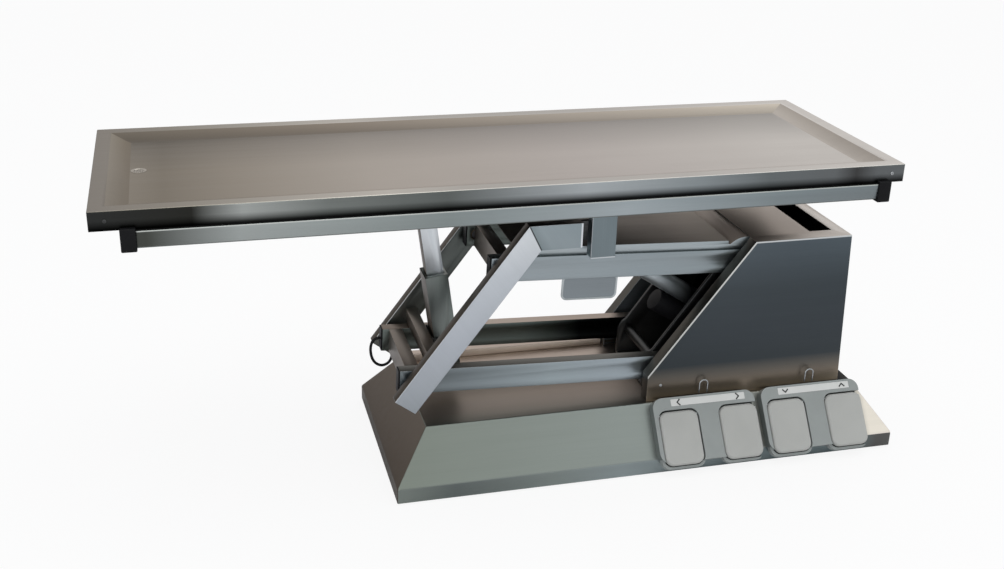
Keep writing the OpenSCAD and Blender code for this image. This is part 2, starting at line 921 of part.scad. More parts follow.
// Beam between the upper links, with the lugs and the pin that hold the lifting actuator
module actuator_beam() {
    x0 = -jack_back - beam_past_jack;
    y0 = jack_lug_y + slide_gap;
    color(steel_dark) along_link(fixed_high) {
        translate([x0 - tube_d / 2, -link_y, -tube_h / 2])
            tube([tube_d, 2 * link_y, tube_h], tube_wall, 1);
        both_sides() difference() {
            upright(y0, jack_lug_t) {
                translate([x0 + tube_d / 2, -jack_eye_r])
                    square([beam_past_jack - tube_d / 2, 2 * jack_eye_r]);
                translate([-jack_back, 0]) circle(jack_eye_r);
            }
            cross_bar([-jack_back, 0], jack_pin_r, y0 - cut, y0 + jack_lug_t + cut);
        }
        cross_bar([-jack_back, 0], jack_pin_r, -y0 - 2 * jack_lug_t, y0 + 2 * jack_lug_t);
    }
}

// Side outline of the cover, drawn in by d: the flat part, its step and the nose about the pivot
module cover_side(d) {
    x0 = -cover_from - cover_len;
    x1 = -cover_from - d;
    z0 = tube_h / 2;
    fold = -sqrt(nose_r * nose_r - (z0 + cover_step_h) * (z0 + cover_step_h));
    low = z0 - cut * d;
    reach = nose_reach + cut * d;
    end_angle = acos(nose_reach / nose_r);
    start_angle = acos(fold / nose_r);
    r = nose_r - d;
    polygon([
        [x0 - cut * d, low],
        [x0 - cut * d, z0 + cover_h - d],
        [x1, z0 + cover_h - d],
        [x1, z0 + cover_step_h - d],
        [r * cos(start_angle), z0 + cover_step_h - d],
        for (i = [0:nose_steps]) let (a = start_angle + (end_angle - start_angle) * i / nose_steps)
            [r * cos(a), r * sin(a)],
        [reach, r * sin(end_angle)],
        [reach, low]
    ]);
}

// Sheet cover on the two upper links, with folded lips and a nose rolled about the fixed pivot
module link_cover() {
    inner_y = cover_y - cover_sheet;
    color(steel_warm) along_link(fixed_high) difference() {
        upright(-cover_y, 2 * cover_y) cover_side(0);
        upright(-inner_y, 2 * inner_y) cover_side(cover_sheet);
    }
}

// Bare name plate that hangs from the near upper link by its flange
module name_plate() {
    x0 = -link_len + plate_from;
    z0 = -tube_h / 2 - plate_h;
    color(steel) along_link(fixed_high) {
        difference() {
            upright(-plate_y, plate_t) {
                translate([x0, z0]) round_rect(plate_len, plate_h, plate_r);
                translate([x0, z0 + plate_h - plate_r]) square([plate_len, plate_r]);
            }
            upright(-plate_y - cut, plate_recess + cut)
                translate([x0 + plate_rim, z0 + plate_rim])
                    round_rect(plate_len - 2 * plate_rim, plate_h - 2 * plate_rim,
                               plate_r - plate_rim);
        }
        translate([x0, -plate_y + plate_t, z0 + plate_h - plate_t])
            cube([plate_len, plate_flange - plate_t, plate_t]);
    }
}

// Route of the cable in the link's frame: out of the end plug, down and back up to the grommet
cable_route = [
    [0, 0], [-6, 0], [-11, -2], [-16, -7], [-19, -15], [-20, -25], [-19, -36], [-16, -47],
    [-11, -56], [-4, -62], [4, -65], [12, -64], [19, -60], [24, -53], [26, -45], [27, -38],
    [27, -33], [27, -28]
];

// Swept tube of the cable: rings square to the route, joined by triangles
module link_cable() {
    n = len(cable_route);
    last = n - 1;
    pts = [for (p = cable_route) [cable_start_x + p[0], p[1]]];
    dirs = [for (i = [0:last]) let (
        d = i == 0 ? [-1, 0] : i == last ? [0, 1] : pts[i + 1] - pts[i - 1]
    ) d / norm(d)];
    rings = [for (i = [0:last], k = [0:cable_sides - 1]) let (a = 360 * k / cable_sides) [
        pts[i][0] - dirs[i][1] * cable_r * cos(a),
        cable_y + cable_r * sin(a),
        pts[i][1] + dirs[i][0] * cable_r * cos(a)
    ]];
    sides = [for (i = [0:last - 1], k = [0:cable_sides - 1]) let (
        a = i * cable_sides + k,
        b = i * cable_sides + (k + 1) % cable_sides
    ) each [[a, a + cable_sides, b], [b, a + cable_sides, b + cable_sides]]];
    first_cap = [for (k = [0:cable_sides - 1]) k];
    last_cap = [for (k = [cable_sides - 1:-1:0]) last * cable_sides + k];
    color(black) along_link(fixed_low)
        polyhedron(rings, concat(sides, [first_cap, last_cap]));
}

// Outline of an arm and its mitred stub in the XZ plane, drawn in by d
module arm_outline(d) {
    h = tube_h / 2 - d;
    foot = at_angle(arm_low, arm_foot - d, 180 + arm_angle);
    side = [-sin(arm_angle) * h, cos(arm_angle) * h];
    corner = h * tan(arm_angle / 2);
    polygon([
        foot + side,
        [mitre[0] - corner, mitre[1] + h],
        [stub_x1 - d, mitre[1] + h],
        [stub_x1 - d, mitre[1] - h],
        [mitre[0] + corner, mitre[1] - h],
        foot - side
    ]);
}

// Hollow arm that the two links carry, with the stub that the top tilts on
module arm() {
    color(steel) difference() {
        upright(arm_y, tube_d) arm_outline(0);
        upright(arm_y + tube_wall, tube_d - 2 * tube_wall) arm_outline(tube_wall);
        for (p = [arm_low, arm_high])
            cross_bar(p, shaft_r + shaft_play, arm_y - cut, arm_y + 2 * tube_wall);
    }
}

module arm_near() {
    mirror([0, 1, 0]) arm();
}

module arm_far() {
    arm();
}

// Brace between the two arms that carries the tilting column
module arm_cross_tube() {
    color(steel_warm) translate([brace_x0, -arm_y, brace_z0])
        tube([brace_w, 2 * arm_y, brace_h], tube_wall, 1);
}

// Pins of the four moving pivots, fixed in the arms
module link_pins() {
    inner = link_y + 2 * slide_gap;
    shoulder = link_y + tube_d + bush_flange_w + slide_gap;
    color(steel) both_sides() for (p = [arm_low, arm_high]) {
        cross_bar(p, shaft_r, inner, arm_y + tube_d - tube_wall);
        cross_bar(p, pin_shoulder_r, shoulder, arm_y);
    }
}

// Ears inside the stubs, with the pins that the hanging posts turn on
module tilt_ears() {
    x0 = tilt_pivot[0] - ear_left;
    color(steel) both_sides() {
        upright(arm_y - ear_t, ear_t) {
            translate([x0, tilt_pivot[1] - ear_r]) square([ear_left, 2 * ear_r]);
            translate(tilt_pivot) circle(ear_r);
        }
        cross_bar(tilt_pivot, tilt_pin_r, arm_y, post_y + tube_d - tube_wall - slide_gap);
    }
}

// Lugs on the brace, with the pins that the column's sleeve turns on
module sleeve_lugs() {
    y0 = sleeve_d / 2 + lug_gap;
    x0 = brace_x0 + brace_w;
    color(steel_dark) both_sides() {
        upright(y0, lug_t) {
            translate([x0, sleeve_pivot[1] - lug_h / 2]) square([sleeve_pivot[0] - x0, lug_h]);
            translate(sleeve_pivot) circle(lug_h / 2);
        }
        cross_bar(sleeve_pivot, trunnion_r, sleeve_d / 2 - trunnion_in, y0);
    }
}

// Section of the top's edge: apron with its hem, flat rim and sloping border
module tray_section() {
    t = tray_sheet;
    inner = rim_w + border_w;
    polygon([
        [0, tray_bottom],
        [0, tray_top],
        [rim_w, tray_top],
        [inner, floor_top],
        [inner, floor_top - t],
        [rim_w, tray_top - t],
        [t, tray_top - t],
        [t, tray_bottom + t],
        [hem_w, tray_bottom + t],
        [hem_w, tray_bottom]
    ]);
}

// Pressed top with its sunk floor and the hole for the drain
module tray_pan() {
    color(steel_warm) difference() {
        union() {
            translate([tray_cx, 0, 0])
                mitred_frame(tray_len, tray_w, rim_w + border_w) tray_section();
            translate([tray_cx - floor_x, -floor_y, floor_top - tray_sheet])
                cube([2 * floor_x, 2 * floor_y, tray_sheet]);
        }
        translate([tray_x0 + drain_inset, 0, floor_top - tray_sheet - cut])
            cylinder(r = drain_hole_r + drain_gap, h = tray_sheet + 2 * cut);
    }
}

// Tubes along the underside of the top, above the hanging posts
module tray_stiffeners() {
    len = tray_len - 2 * stiffener_in;
    color(steel_dark) both_sides()
        translate([tray_cx - len / 2, post_y, stiffener_top - stiffener_h])
            tube([len, stiffener_w, stiffener_h], tube_wall, 0);
}

// Where the cross bars lie along the table: at the tilting column and at the posts
bar_places = [column_pivot[0], tilt_pivot[0]];

module tray_cross_bars() {
    color(steel_dark) for (x = bar_places)
        translate([x - stiffener_w / 2, -post_y, stiffener_top - stiffener_h])
            tube([stiffener_w, 2 * post_y, stiffener_h], tube_wall, 1);
}

// Posts that hang from the stiffeners and turn on the ears' pins
module tray_posts() {
    z0 = tilt_pivot[1] - post_drop;
    h = stiffener_top - stiffener_h - z0;
    color(steel) both_sides() difference() {
        translate([tilt_pivot[0] - tube_h / 2, post_y, z0]) cube([tube_h, tube_d, h]);
        translate([tilt_pivot[0] - tube_h / 2, post_y, z0] + tube_wall * [1, 1, 1])
            cube([tube_h, tube_d, h] - tube_wall * [2, 2, 2]);
        cross_bar(tilt_pivot, tilt_pin_r + shaft_play, post_y - cut, post_y + 2 * tube_wall);
    }
}

// Fork under the top that the tilting column pushes on
module tilt_head() {
    z1 = stiffener_top - stiffener_h;
    y0 = head_lug_y;
    color(steel_dark) {
        translate([column_pivot[0] - head_lug_w, -y0 - head_lug_t, z1 - head_plate_t])
            cube([2 * head_lug_w, 2 * (y0 + head_lug_t), head_plate_t]);
        both_sides() upright(y0, head_lug_t) {
            translate([column_pivot[0] - head_lug_w / 2, column_pivot[1]])
                square([head_lug_w, z1 - head_plate_t - column_pivot[1]]);
            translate(column_pivot) circle(head_lug_w / 2);
        }
        cross_bar(column_pivot, head_pin_r, -y0, y0);
    }
}

// Accessory rail along one side
module rail() {
    color(steel) translate([rail_x0, rail_y0, rail_top - rail_h])
        cube([rail_x1 - rail_x0, rail_t, rail_h]);
}

module rail_near() {
    mirror([0, 1, 0]) rail();
}

module rail_far() {
    rail();
}

// Short blocks that hold the rails to the hem
module rail_brackets() {
    run = rail_x1 - rail_x0 - rail_bracket_len;
    y0 = tray_w / 2 - hem_w;
    color(steel_dark) both_sides() for (i = [0:bracket_count - 1])
        translate([rail_x0 + run * i / (bracket_count - 1), y0, tray_bottom - rail_bracket_h])
            cube([rail_bracket_len, rail_y0 - y0, rail_bracket_h]);
}

// Plastic caps on the rails' ends, which reach up over the apron's edge
module rail_caps() {
    y0 = tray_w / 2 - hem_w;
    y1 = rail_y1 + cap_side;
    low = rail_top - rail_h - cap_below;
    step = tray_w / 2 + cap_gap;
    color(black) both_sides() for (x = [rail_x0 - cap_len, rail_x1])
        translate([x, 0, 0]) rotate([90, 0, 90]) linear_extrude(cap_len) polygon([
            [y0, low],
            [y1, low],
            [y1, tray_bottom + cap_above],
            [step, tray_bottom + cap_above],
            [step, tray_bottom],
            [y0, tray_bottom]
        ]);
}

// Screw heads at the apron's ends
module tray_screws() {
    color(steel) both_sides()
        for (x = [tray_x0 + tray_screw_in, tray_x0 + tray_len - tray_screw_in])
            translate([x, tray_w / 2, tray_top - apron_h / 2]) rotate([-90, 0, 0])
                cylinder(r = tray_screw_r, h = tray_screw_h);
}

// Drain: strainer let into the floor, nut under it and the spigot for a hose
module drain() {
    z0 = floor_top;
    bottom = floor_top - tray_sheet;
    color(steel) translate([tray_x0 + drain_inset, 0, 0]) difference() {
        union() {
            translate([0, 0, bottom - drain_nut_h])
                cylinder(r = drain_hole_r, h = z0 + drain_nut_h - bottom);
            translate([0, 0, bottom - drain_nut_h]) cylinder(r = drain_nut_r, h = drain_nut_h, $fn = 6);
            translate([0, 0, bottom - drain_nut_h - spigot_len]) cylinder(r = spigot_r, h = spigot_len);
        }
        translate([0, 0, bottom - drain_nut_h - spigot_len - cut])
            cylinder(r = spigot_bore_r, h = spigot_len + drain_nut_h + cut);
        translate([0, 0, z0 - drain_dish_depth])
            cylinder(r = drain_dish_r, h = drain_dish_depth + cut);
        for (i = [1:strainer_holes]) rotate([0, 0, 360 * i / strainer_holes])
            translate([strainer_ring_r, 0, bottom - cut])
                cylinder(r = strainer_hole_r, h = tray_sheet + 2 * cut);
    }
}

// Outer tube of the lifting actuator, with the eye it hangs by
module lift_cylinder() {
    y0 = jack_lug_y;
    color(steel) along_jack() difference() {
        union() {
            rotate([0, 90, 0]) cylinder(r = cyl_r, h = cyl_len);
            cross_bar([0, 0], jack_eye_r, -y0, y0);
        }
        translate([rod_top - rod_stroke_room, 0, 0]) rotate([0, 90, 0])
            cylinder(r = rod_r + slide_gap, h = cyl_len);
        cross_bar([0, 0], jack_pin_r + shaft_play, -cyl_r - cut, cyl_r + cut);
        both_sides() translate([-cut - cyl_r, y0, -cyl_r - cut])
            cube([2 * cyl_r + cut, cyl_r, 2 * (cyl_r + cut)]);
    }
}

// Motor beside the outer tube, with the gearbox that grips the tube
module lift_motor() {
    low = motor_off + motor_r + gearbox_rim / 2;
    color(black) along_jack() {
        translate([motor_from, 0, -motor_off]) rotate([0, 90, 0])
            cylinder(r = motor_r, h = motor_len);
        difference() {
            translate([motor_from + motor_len, -gearbox_y, -low])
                cube([gearbox_len, 2 * gearbox_y, low + cyl_r + gearbox_rim]);
            translate([motor_from + motor_len - cut, 0, 0]) rotate([0, 90, 0])
                cylinder(r = cyl_r + shaft_play, h = gearbox_len + 2 * cut);
        }
    }
}

// Rod of the lifting actuator, with the wide eye on the bracket's pin
module lift_rod() {
    y0 = jack_lug_y;
    color(steel) along_jack() difference() {
        union() {
            translate([rod_top, 0, 0]) rotate([0, 90, 0])
                cylinder(r = rod_r, h = jack_len - rod_top - jack_pin_r - jack_play);
            cross_bar([jack_len, 0], jack_eye_r + jack_play / 2, -y0, y0);
        }
        cross_bar([jack_len, 0], jack_pin_r + jack_play, -y0 - cut, y0 + cut);
    }
}

// Sleeve of the tilting column, closed below
module tilt_sleeve() {
    w = column_w + 2 * column_play;
    d = column_d + 2 * column_play;
    color(steel_dark) along_column() difference() {
        translate([-sleeve_w / 2, -sleeve_d / 2, -sleeve_down])
            cube([sleeve_w, sleeve_d, sleeve_up + sleeve_down]);
        translate([-w / 2, -d / 2, -sleeve_down + sleeve_floor])
            cube([w, d, sleeve_up + sleeve_down]);
        both_sides() cross_bar([0, 0], trunnion_r + shaft_play,
                               sleeve_d / 2 - trunnion_in - slide_gap, sleeve_d / 2 + cut);
    }
}

// Inner column that slides in the sleeve, with the wide eye on the fork's pin
module tilt_column() {
    w = column_w;
    d = column_d;
    solid_from = column_run - column_cap;
    color(steel) along_column() difference() {
        union() {
            translate([-w / 2, -d / 2, column_bottom])
                cube([w, d, column_run - column_bottom]);
            cross_bar([0, column_run], w / 2, -d / 2, d / 2);
        }
        translate([-w / 2 + column_wall, -d / 2 + column_wall, column_bottom - cut])
            cube([w - 2 * column_wall, d - 2 * column_wall, solid_from - column_bottom + cut]);
        cross_bar([0, column_run], column_eye_r, -d / 2 - cut, d / 2 + cut);
    }
}

base_skirt();
base_beam_near();
base_beam_far();
base_cross_beams();
foot_legs();
levelling_feet();
pivot_tower_near();
pivot_tower_far();
fixed_shaft_low();
fixed_shaft_high();
actuator_bracket();
housing_cover();
housing_screws();
control_box();
mains_inlet();
tilt_pedal_unit();
lift_pedal_unit();
pedal_hangers();
pedal_labels();
pedal_pins();
pedal_tilt_left();
pedal_tilt_right();
pedal_down();
pedal_up();
lower_link_near();
lower_link_far();
lower_cross_tube();
lower_link_bushes();
lower_link_plugs();
link_cable();
upper_link_near();
upper_link_far();
upper_cross_tube();
actuator_beam();
upper_link_bushes();
upper_link_plugs();
link_cover();
name_plate();
arm_near();
arm_far();
arm_cross_tube();
link_pins();
tilt_ears();
sleeve_lugs();
tray_pan();
tray_stiffeners();
tray_cross_bars();
tray_posts();
tilt_head();
rail_near();
rail_far();
rail_brackets();
rail_caps();
tray_screws();
drain();
lift_cylinder();
lift_motor();
lift_rod();
tilt_sleeve();
tilt_column();
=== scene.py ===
"""Looks of the electric treatment table: brushed sheet, drawn tube and moulded foot pedals."""
from contextlib import contextmanager
from math import atan2, cos, pi, radians, sin
import bmesh
import bpy
from mathutils import Matrix, Vector


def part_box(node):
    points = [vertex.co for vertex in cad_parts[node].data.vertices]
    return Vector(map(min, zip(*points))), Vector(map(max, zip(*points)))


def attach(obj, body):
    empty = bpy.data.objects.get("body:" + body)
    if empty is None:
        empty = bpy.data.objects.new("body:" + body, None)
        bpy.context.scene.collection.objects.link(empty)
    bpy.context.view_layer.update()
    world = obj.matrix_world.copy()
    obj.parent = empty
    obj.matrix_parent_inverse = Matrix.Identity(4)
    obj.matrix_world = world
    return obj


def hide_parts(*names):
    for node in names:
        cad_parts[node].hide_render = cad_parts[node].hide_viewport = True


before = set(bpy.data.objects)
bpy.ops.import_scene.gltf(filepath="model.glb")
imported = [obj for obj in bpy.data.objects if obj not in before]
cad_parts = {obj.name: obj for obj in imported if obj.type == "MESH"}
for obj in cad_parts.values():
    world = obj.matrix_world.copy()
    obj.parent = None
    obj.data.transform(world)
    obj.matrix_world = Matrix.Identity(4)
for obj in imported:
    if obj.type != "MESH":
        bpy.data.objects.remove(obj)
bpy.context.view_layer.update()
scene = bpy.context.scene
scene.view_settings.view_transform = "Standard"

# Camera, as fitted to the photograph
camera_data = bpy.data.cameras.new("photo_camera")
camera_data.lens = 44.32
camera_data.sensor_width = 36.0
camera_data.clip_end = 100.0
camera = bpy.data.objects.new("photo_camera", camera_data)
scene.collection.objects.link(camera)
right = Vector((0.96647031, -0.25551785, 0.02541187))
up = Vector((0.07616534, 0.3797766, 0.9219374))
back = Vector((-0.24522229, -0.88908963, 0.38650442))
camera.matrix_world = (Matrix.Translation((-0.640147, -2.248884, 1.329023))
                       @ Matrix((right, up, back)).transposed().to_4x4())
scene.camera = camera

# The base's near slope: x along the table, y up the slope, z out of it
skirt_lo, skirt_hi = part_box("base_skirt")
LIP = 0.034
SLOPE_RUN = 0.070
SLOPE_ANGLE = atan2(skirt_hi.z - LIP, SLOPE_RUN)
on_slope = Matrix.Translation((0, skirt_lo.y, LIP)) @ Matrix.Rotation(SLOPE_ANGLE, 4, "X")

# The lower links' own direction from their fixed pivot
LINK_TILT = radians(2.1)
along_low = Matrix.Translation((0.295, 0, 0.187)) @ Matrix.Rotation(LINK_TILT, 4, "Y")


# Modelling helpers

def choose(*pieces):
    """Leaves only these objects selected, the first one active."""
    for other in bpy.context.selected_objects:
        other.select_set(False)
    for piece in pieces:
        piece.select_set(True)
    bpy.context.view_layer.objects.active = pieces[0]


@contextmanager
def editing(piece):
    """Edit mode on one piece, with nothing selected in it."""
    choose(piece)
    bpy.ops.object.mode_set(mode="EDIT")
    bpy.ops.mesh.select_mode(type="FACE")
    bpy.ops.mesh.select_all(action="DESELECT")
    yield
    bpy.ops.object.mode_set(mode="OBJECT")


def pick_faces(piece, test):
    """Selects the faces whose middle and normal pass the test."""
    bpy.ops.mesh.select_mode(type="FACE")
    bpy.ops.mesh.select_all(action="DESELECT")
    mesh = bmesh.from_edit_mesh(piece.data)
    for face in mesh.faces:
        face.select_set(bool(test(face.calc_center_median(), face.normal)))
    bmesh.update_edit_mesh(piece.data)


def pick_edges(piece, test):
    """Selects the edges whose middle and direction pass the test."""
    bpy.ops.mesh.select_mode(type="EDGE")
    bpy.ops.mesh.select_all(action="DESELECT")
    mesh = bmesh.from_edit_mesh(piece.data)
    for edge in mesh.edges:
        a, b = (v.co for v in edge.verts)
        edge.select_set(bool(test((a + b) / 2, (b - a).normalized())))
    bmesh.update_edit_mesh(piece.data)


def block(name, lo, hi):
    """A cube at its size and place, as the start of a piece."""
    lo, hi = Vector(lo), Vector(hi)
    bpy.ops.mesh.primitive_cube_add(size=1.0, location=(lo + hi) / 2)
    piece = bpy.context.object
    piece.name = name
    piece.scale = hi - lo
    bpy.ops.object.transform_apply(location=True, rotation=True, scale=True)
    return piece


def rod(name, r, depth, place, sides=32):
    """A cylinder along z at its place, as the start of a piece."""
    bpy.ops.mesh.primitive_cylinder_add(vertices=sides, radius=r, depth=depth, location=place)
    piece = bpy.context.object
    piece.name = name
    bpy.ops.object.transform_apply(location=True, rotation=True, scale=True)
    return piece


def modify(piece, kind, **settings):
    """Adds one modifier and applies it."""
    choose(piece)
    modifier = piece.modifiers.new(kind.lower(), kind)
    for key, value in settings.items():
        setattr(modifier, key, value)
    bpy.ops.object.modifier_apply(modifier=modifier.name)
    return piece


def ease_edges(piece, width, segments=3, angle=35.0):
    """Rounds every edge sharper than the angle and keeps the flat faces flat."""
    choose(piece)
    bpy.ops.object.shade_smooth()
    return modify(piece, "BEVEL", width=width, segments=segments, limit_method="ANGLE",
                  angle_limit=radians(angle), harden_normals=True, miter_outer="MITER_ARC")


def smooth_sheet(piece, angle=30.0):
    """Smooth shading over the folds, with flat faces kept flat."""
    choose(piece)
    bpy.ops.object.shade_smooth_by_angle(angle=radians(angle))
    return modify(piece, "WEIGHTED_NORMAL", keep_sharp=True, weight=60)


def join_solids(piece, others, operation="UNION"):
    """Unites other solids with the piece, or cuts them out of it."""
    for other in others:
        modify(piece, "BOOLEAN", object=other, operation=operation, solver="EXACT")
        bpy.data.objects.remove(other)
    return piece


def merged(name, pieces):
    """Several pieces as one object."""
    choose(*pieces)
    bpy.ops.object.join()
    piece = bpy.context.object
    piece.name = name
    return piece


def round_block(name, lo, hi, corner, segments):
    """A block whose upright edges are rounded."""
    piece = block(name, lo, hi)
    with editing(piece):
        pick_edges(piece, lambda mid, way: abs(way.z) > 0.9)
        bpy.ops.mesh.bevel(offset=corner, segments=segments, affect="EDGES")
    return piece


def place(piece, matrix):
    """Moves the mesh itself, so that the object stays at the origin."""
    piece.data.transform(matrix)
    piece.data.update()
    return piece


def dress(piece, *materials):
    """Gives the piece its materials, in slot order."""
    piece.data.materials.clear()
    for material in materials:
        piece.data.materials.append(material)
    return piece


def paint(piece, finish_of):
    """Gives each face the material that finish_of names for its normal and middle."""
    slots = piece.data.materials
    slots.clear()
    for face in piece.data.polygons:
        material = finish_of(face.normal, face.center)
        if slots.find(material.name) < 0:
            slots.append(material)
        face.material_index = slots.find(material.name)
    return piece


def settle(piece, body, slot, *nodes):
    """Lets the finished piece ride on its body, in place of the CAD nodes that it stands for."""
    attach(piece, body)
    if nodes:
        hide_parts(*nodes)
    return piece


def eased_copy(node, width):
    """A copy of a CAD node with the edges of drawn tube or folded sheet."""
    piece = bpy.data.objects.new(node + "_eased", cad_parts[node].data.copy())
    scene.collection.objects.link(piece)
    with editing(piece):
        bpy.ops.mesh.select_all(action="SELECT")
        bpy.ops.mesh.remove_doubles(threshold=0.00001)
        bpy.ops.mesh.dissolve_limited(angle_limit=radians(1.0))
    return ease_edges(piece, width, 2)


# Shader helpers

def linear(*rgb):
    """A colour given in 0 to 255 as seen on a screen, for a shader socket."""
    shares = [c / 255 for c in rgb]
    return tuple(((c + 0.055) / 1.055) ** 2.4 if c > 0.04 else c / 12.92 for c in shares) + (1.0,)


def node_of(tree, kind, **settings):
    """A shader node with these inputs and settings."""
    node = tree.nodes.new(kind)
    for key, value in settings.items():
        if key in node.inputs:
            node.inputs[key].default_value = value
        else:
            setattr(node, key, value)
    return node


def new_group(name, inputs, outputs):
    """A shader node group with named number inputs and outputs."""
    group = bpy.data.node_groups.new(name, "ShaderNodeTree")
    for title, value in inputs.items():
        socket = group.interface.new_socket(title, in_out="INPUT", socket_type="NodeSocketFloat")
        socket.default_value = value
    for title in outputs:
        group.interface.new_socket(title, in_out="OUTPUT", socket_type="NodeSocketFloat")
    return group, group.nodes.new("NodeGroupInput"), group.nodes.new("NodeGroupOutput")


def math_node(tree, operation, a, b=None):
    """One step of arithmetic on one or two values, each a socket or a number."""
    node = tree.nodes.new("ShaderNodeMath")
    node.operation = operation
    for socket, value in zip(node.inputs, (a, b)):
        if hasattr(value, "is_output"):
            tree.links.new(value, socket)
        elif value is not None:
            socket.default_value = value
    return node.outputs[0]


def make_grain_group():
    """Fine brush lines along x, turned about y by an angle, and the soft cloudiness of rolled sheet."""
    group, into, out = new_group("brush_grain", {"Turn": 0.0, "Across": 0.0, "Fineness": 1.0},
                                 ("Lines", "Streaks", "Clouds"))
    link = group.links.new
    where = group.nodes.new("ShaderNodeTexCoord")
    level = node_of(group, "ShaderNodeVectorRotate", rotation_type="Y_AXIS")
    link(where.outputs["Object"], level.inputs["Vector"])
    link(into.outputs["Turn"], level.inputs["Angle"])
    swing = node_of(group, "ShaderNodeVectorRotate", rotation_type="Z_AXIS")
    link(level.outputs[0], swing.inputs["Vector"])
    link(into.outputs["Across"], swing.inputs["Angle"])
    fine = node_of(group, "ShaderNodeMapping", vector_type="POINT")
    fine.inputs["Scale"].default_value = (6.0, 900.0, 900.0)
    link(swing.outputs[0], fine.inputs["Vector"])
    lines = node_of(group, "ShaderNodeTexNoise", Detail=3.0, Roughness=0.6)
    link(fine.outputs[0], lines.inputs["Vector"])
    link(into.outputs["Fineness"], lines.inputs["Scale"])
    broad = node_of(group, "ShaderNodeMapping", vector_type="POINT")
    broad.inputs["Scale"].default_value = (2.2, 70.0, 70.0)
    link(swing.outputs[0], broad.inputs["Vector"])
    streaks = node_of(group, "ShaderNodeTexNoise", Scale=1.0, Detail=4.0, Roughness=0.65)
    link(broad.outputs[0], streaks.inputs["Vector"])
    clouds = node_of(group, "ShaderNodeTexNoise", Scale=4.5, Detail=3.0, Roughness=0.5)
    link(where.outputs["Object"], clouds.inputs["Vector"])
    link(lines.outputs[0], out.inputs["Lines"])
    link(streaks.outputs[0], out.inputs["Streaks"])
    link(clouds.outputs[0], out.inputs["Clouds"])
    return group


def make_speckle_group():
    """Moulded or cast skin: fine pimples and a slow mottle."""
    group, into, out = new_group("moulded_skin", {"Fineness": 1.0}, ("Pimples", "Mottle"))
    link = group.links.new
    where = group.nodes.new("ShaderNodeTexCoord")
    size = math_node(group, "MULTIPLY", into.outputs["Fineness"], 900.0)
    pimples = node_of(group, "ShaderNodeTexNoise", Detail=2.0, Roughness=0.5)
    link(where.outputs["Object"], pimples.inputs["Vector"])
    link(size, pimples.inputs["Scale"])
    mottle = node_of(group, "ShaderNodeTexNoise", Scale=14.0, Detail=3.0)
    link(where.outputs["Object"], mottle.inputs["Vector"])
    link(pimples.outputs[0], out.inputs["Pimples"])
    link(mottle.outputs[0], out.inputs["Mottle"])
    return group


brush_grain = make_grain_group()
moulded_skin = make_speckle_group()


def use_group(tree, group, **values):
    """A group placed in a material, with the material's own values."""
    node = tree.nodes.new("ShaderNodeGroup")
    node.node_tree = group
    for key, value in values.items():
        node.inputs[key].default_value = value
    return node


def start_material(name, roughness, metallic, **sockets):
    """A new material whose constants are set on the shader's own sockets."""
    material = bpy.data.materials.new(name)
    material.use_nodes = True
    tree = material.node_tree
    shader = tree.nodes["Principled BSDF"]
    shader.inputs["Roughness"].default_value = roughness
    shader.inputs["Metallic"].default_value = metallic
    for key, value in sockets.items():
        shader.inputs[key.replace("_", " ")].default_value = value
    return material, tree, shader


def map_range(tree, value, start, end, low=0.0, high=1.0):
    """A value mapped from start and end onto low and high, and held past them."""
    node = tree.nodes.new("ShaderNodeMapRange")
    for key, number in (("From Min", start), ("From Max", end), ("To Min", low), ("To Max", high)):
        node.inputs[key].default_value = number
    tree.links.new(value, node.inputs["Value"])
    return node.outputs[0]


def ramp_between(tree, value, stops):
    """A colour ramp fed by a value, with (position, colour) stops."""
    ramp = tree.nodes.new("ShaderNodeValToRGB")
    while len(ramp.color_ramp.elements) < len(stops):
        ramp.color_ramp.elements.new(0.5)
    for element, (position, colour) in zip(ramp.color_ramp.elements, stops):
        element.position = position
        element.color = colour
    tree.links.new(value, ramp.inputs[0])
    return ramp.outputs["Color"]


def bump(tree, shader, height, strength, distance):
    """Fine relief from a height."""
    node = node_of(tree, "ShaderNodeBump", Strength=strength, Distance=distance)
    tree.links.new(height, node.inputs["Height"])
    tree.links.new(node.outputs["Normal"], shader.inputs["Normal"])


def axis_of(tree, axis):
    """The place along one axis of the object, in metres."""
    where = tree.nodes.new("ShaderNodeTexCoord")
    split = tree.nodes.new("ShaderNodeSeparateXYZ")
    tree.links.new(where.outputs["Object"], split.inputs[0])
    return split.outputs[axis]


def tone_along(tree, stops, along):
    """A colour that changes along an axis of the object, from start to end in metres."""
    axis, start, end = along
    reach = map_range(tree, axis_of(tree, axis), start, end)
    return ramp_between(tree, reach, [(share, linear(*rgb)) for share, rgb in stops])


def band_of(tree, across, start, end, soft):
    """A mask between two parallel lines, seen from the side. Across is (x, z) of their normal."""
    where = tree.nodes.new("ShaderNodeTexCoord")
    reach = tree.nodes.new("ShaderNodeVectorMath")
    reach.operation = "DOT_PRODUCT"
    tree.links.new(where.outputs["Object"], reach.inputs[0])
    reach.inputs[1].default_value = (across[0], 0, across[1])
    inner = map_range(tree, reach.outputs["Value"], start - soft, start)
    outer = map_range(tree, reach.outputs["Value"], end + soft, end)
    return math_node(tree, "MULTIPLY", inner, outer)


def mixed(tree, share, first, second):
    """Blends two colours, each a socket or plain values."""
    node = tree.nodes.new("ShaderNodeMix")
    node.data_type = "RGBA"
    tree.links.new(share, node.inputs["Factor"])
    for name, colour in (("A", first), ("B", second)):
        socket = [i for i in node.inputs if i.name == name and i.type == "RGBA"][0]
        if isinstance(colour, tuple):
            socket.default_value = colour
        else:
            tree.links.new(colour, socket)
    return [o for o in node.outputs if o.type == "RGBA"][0]


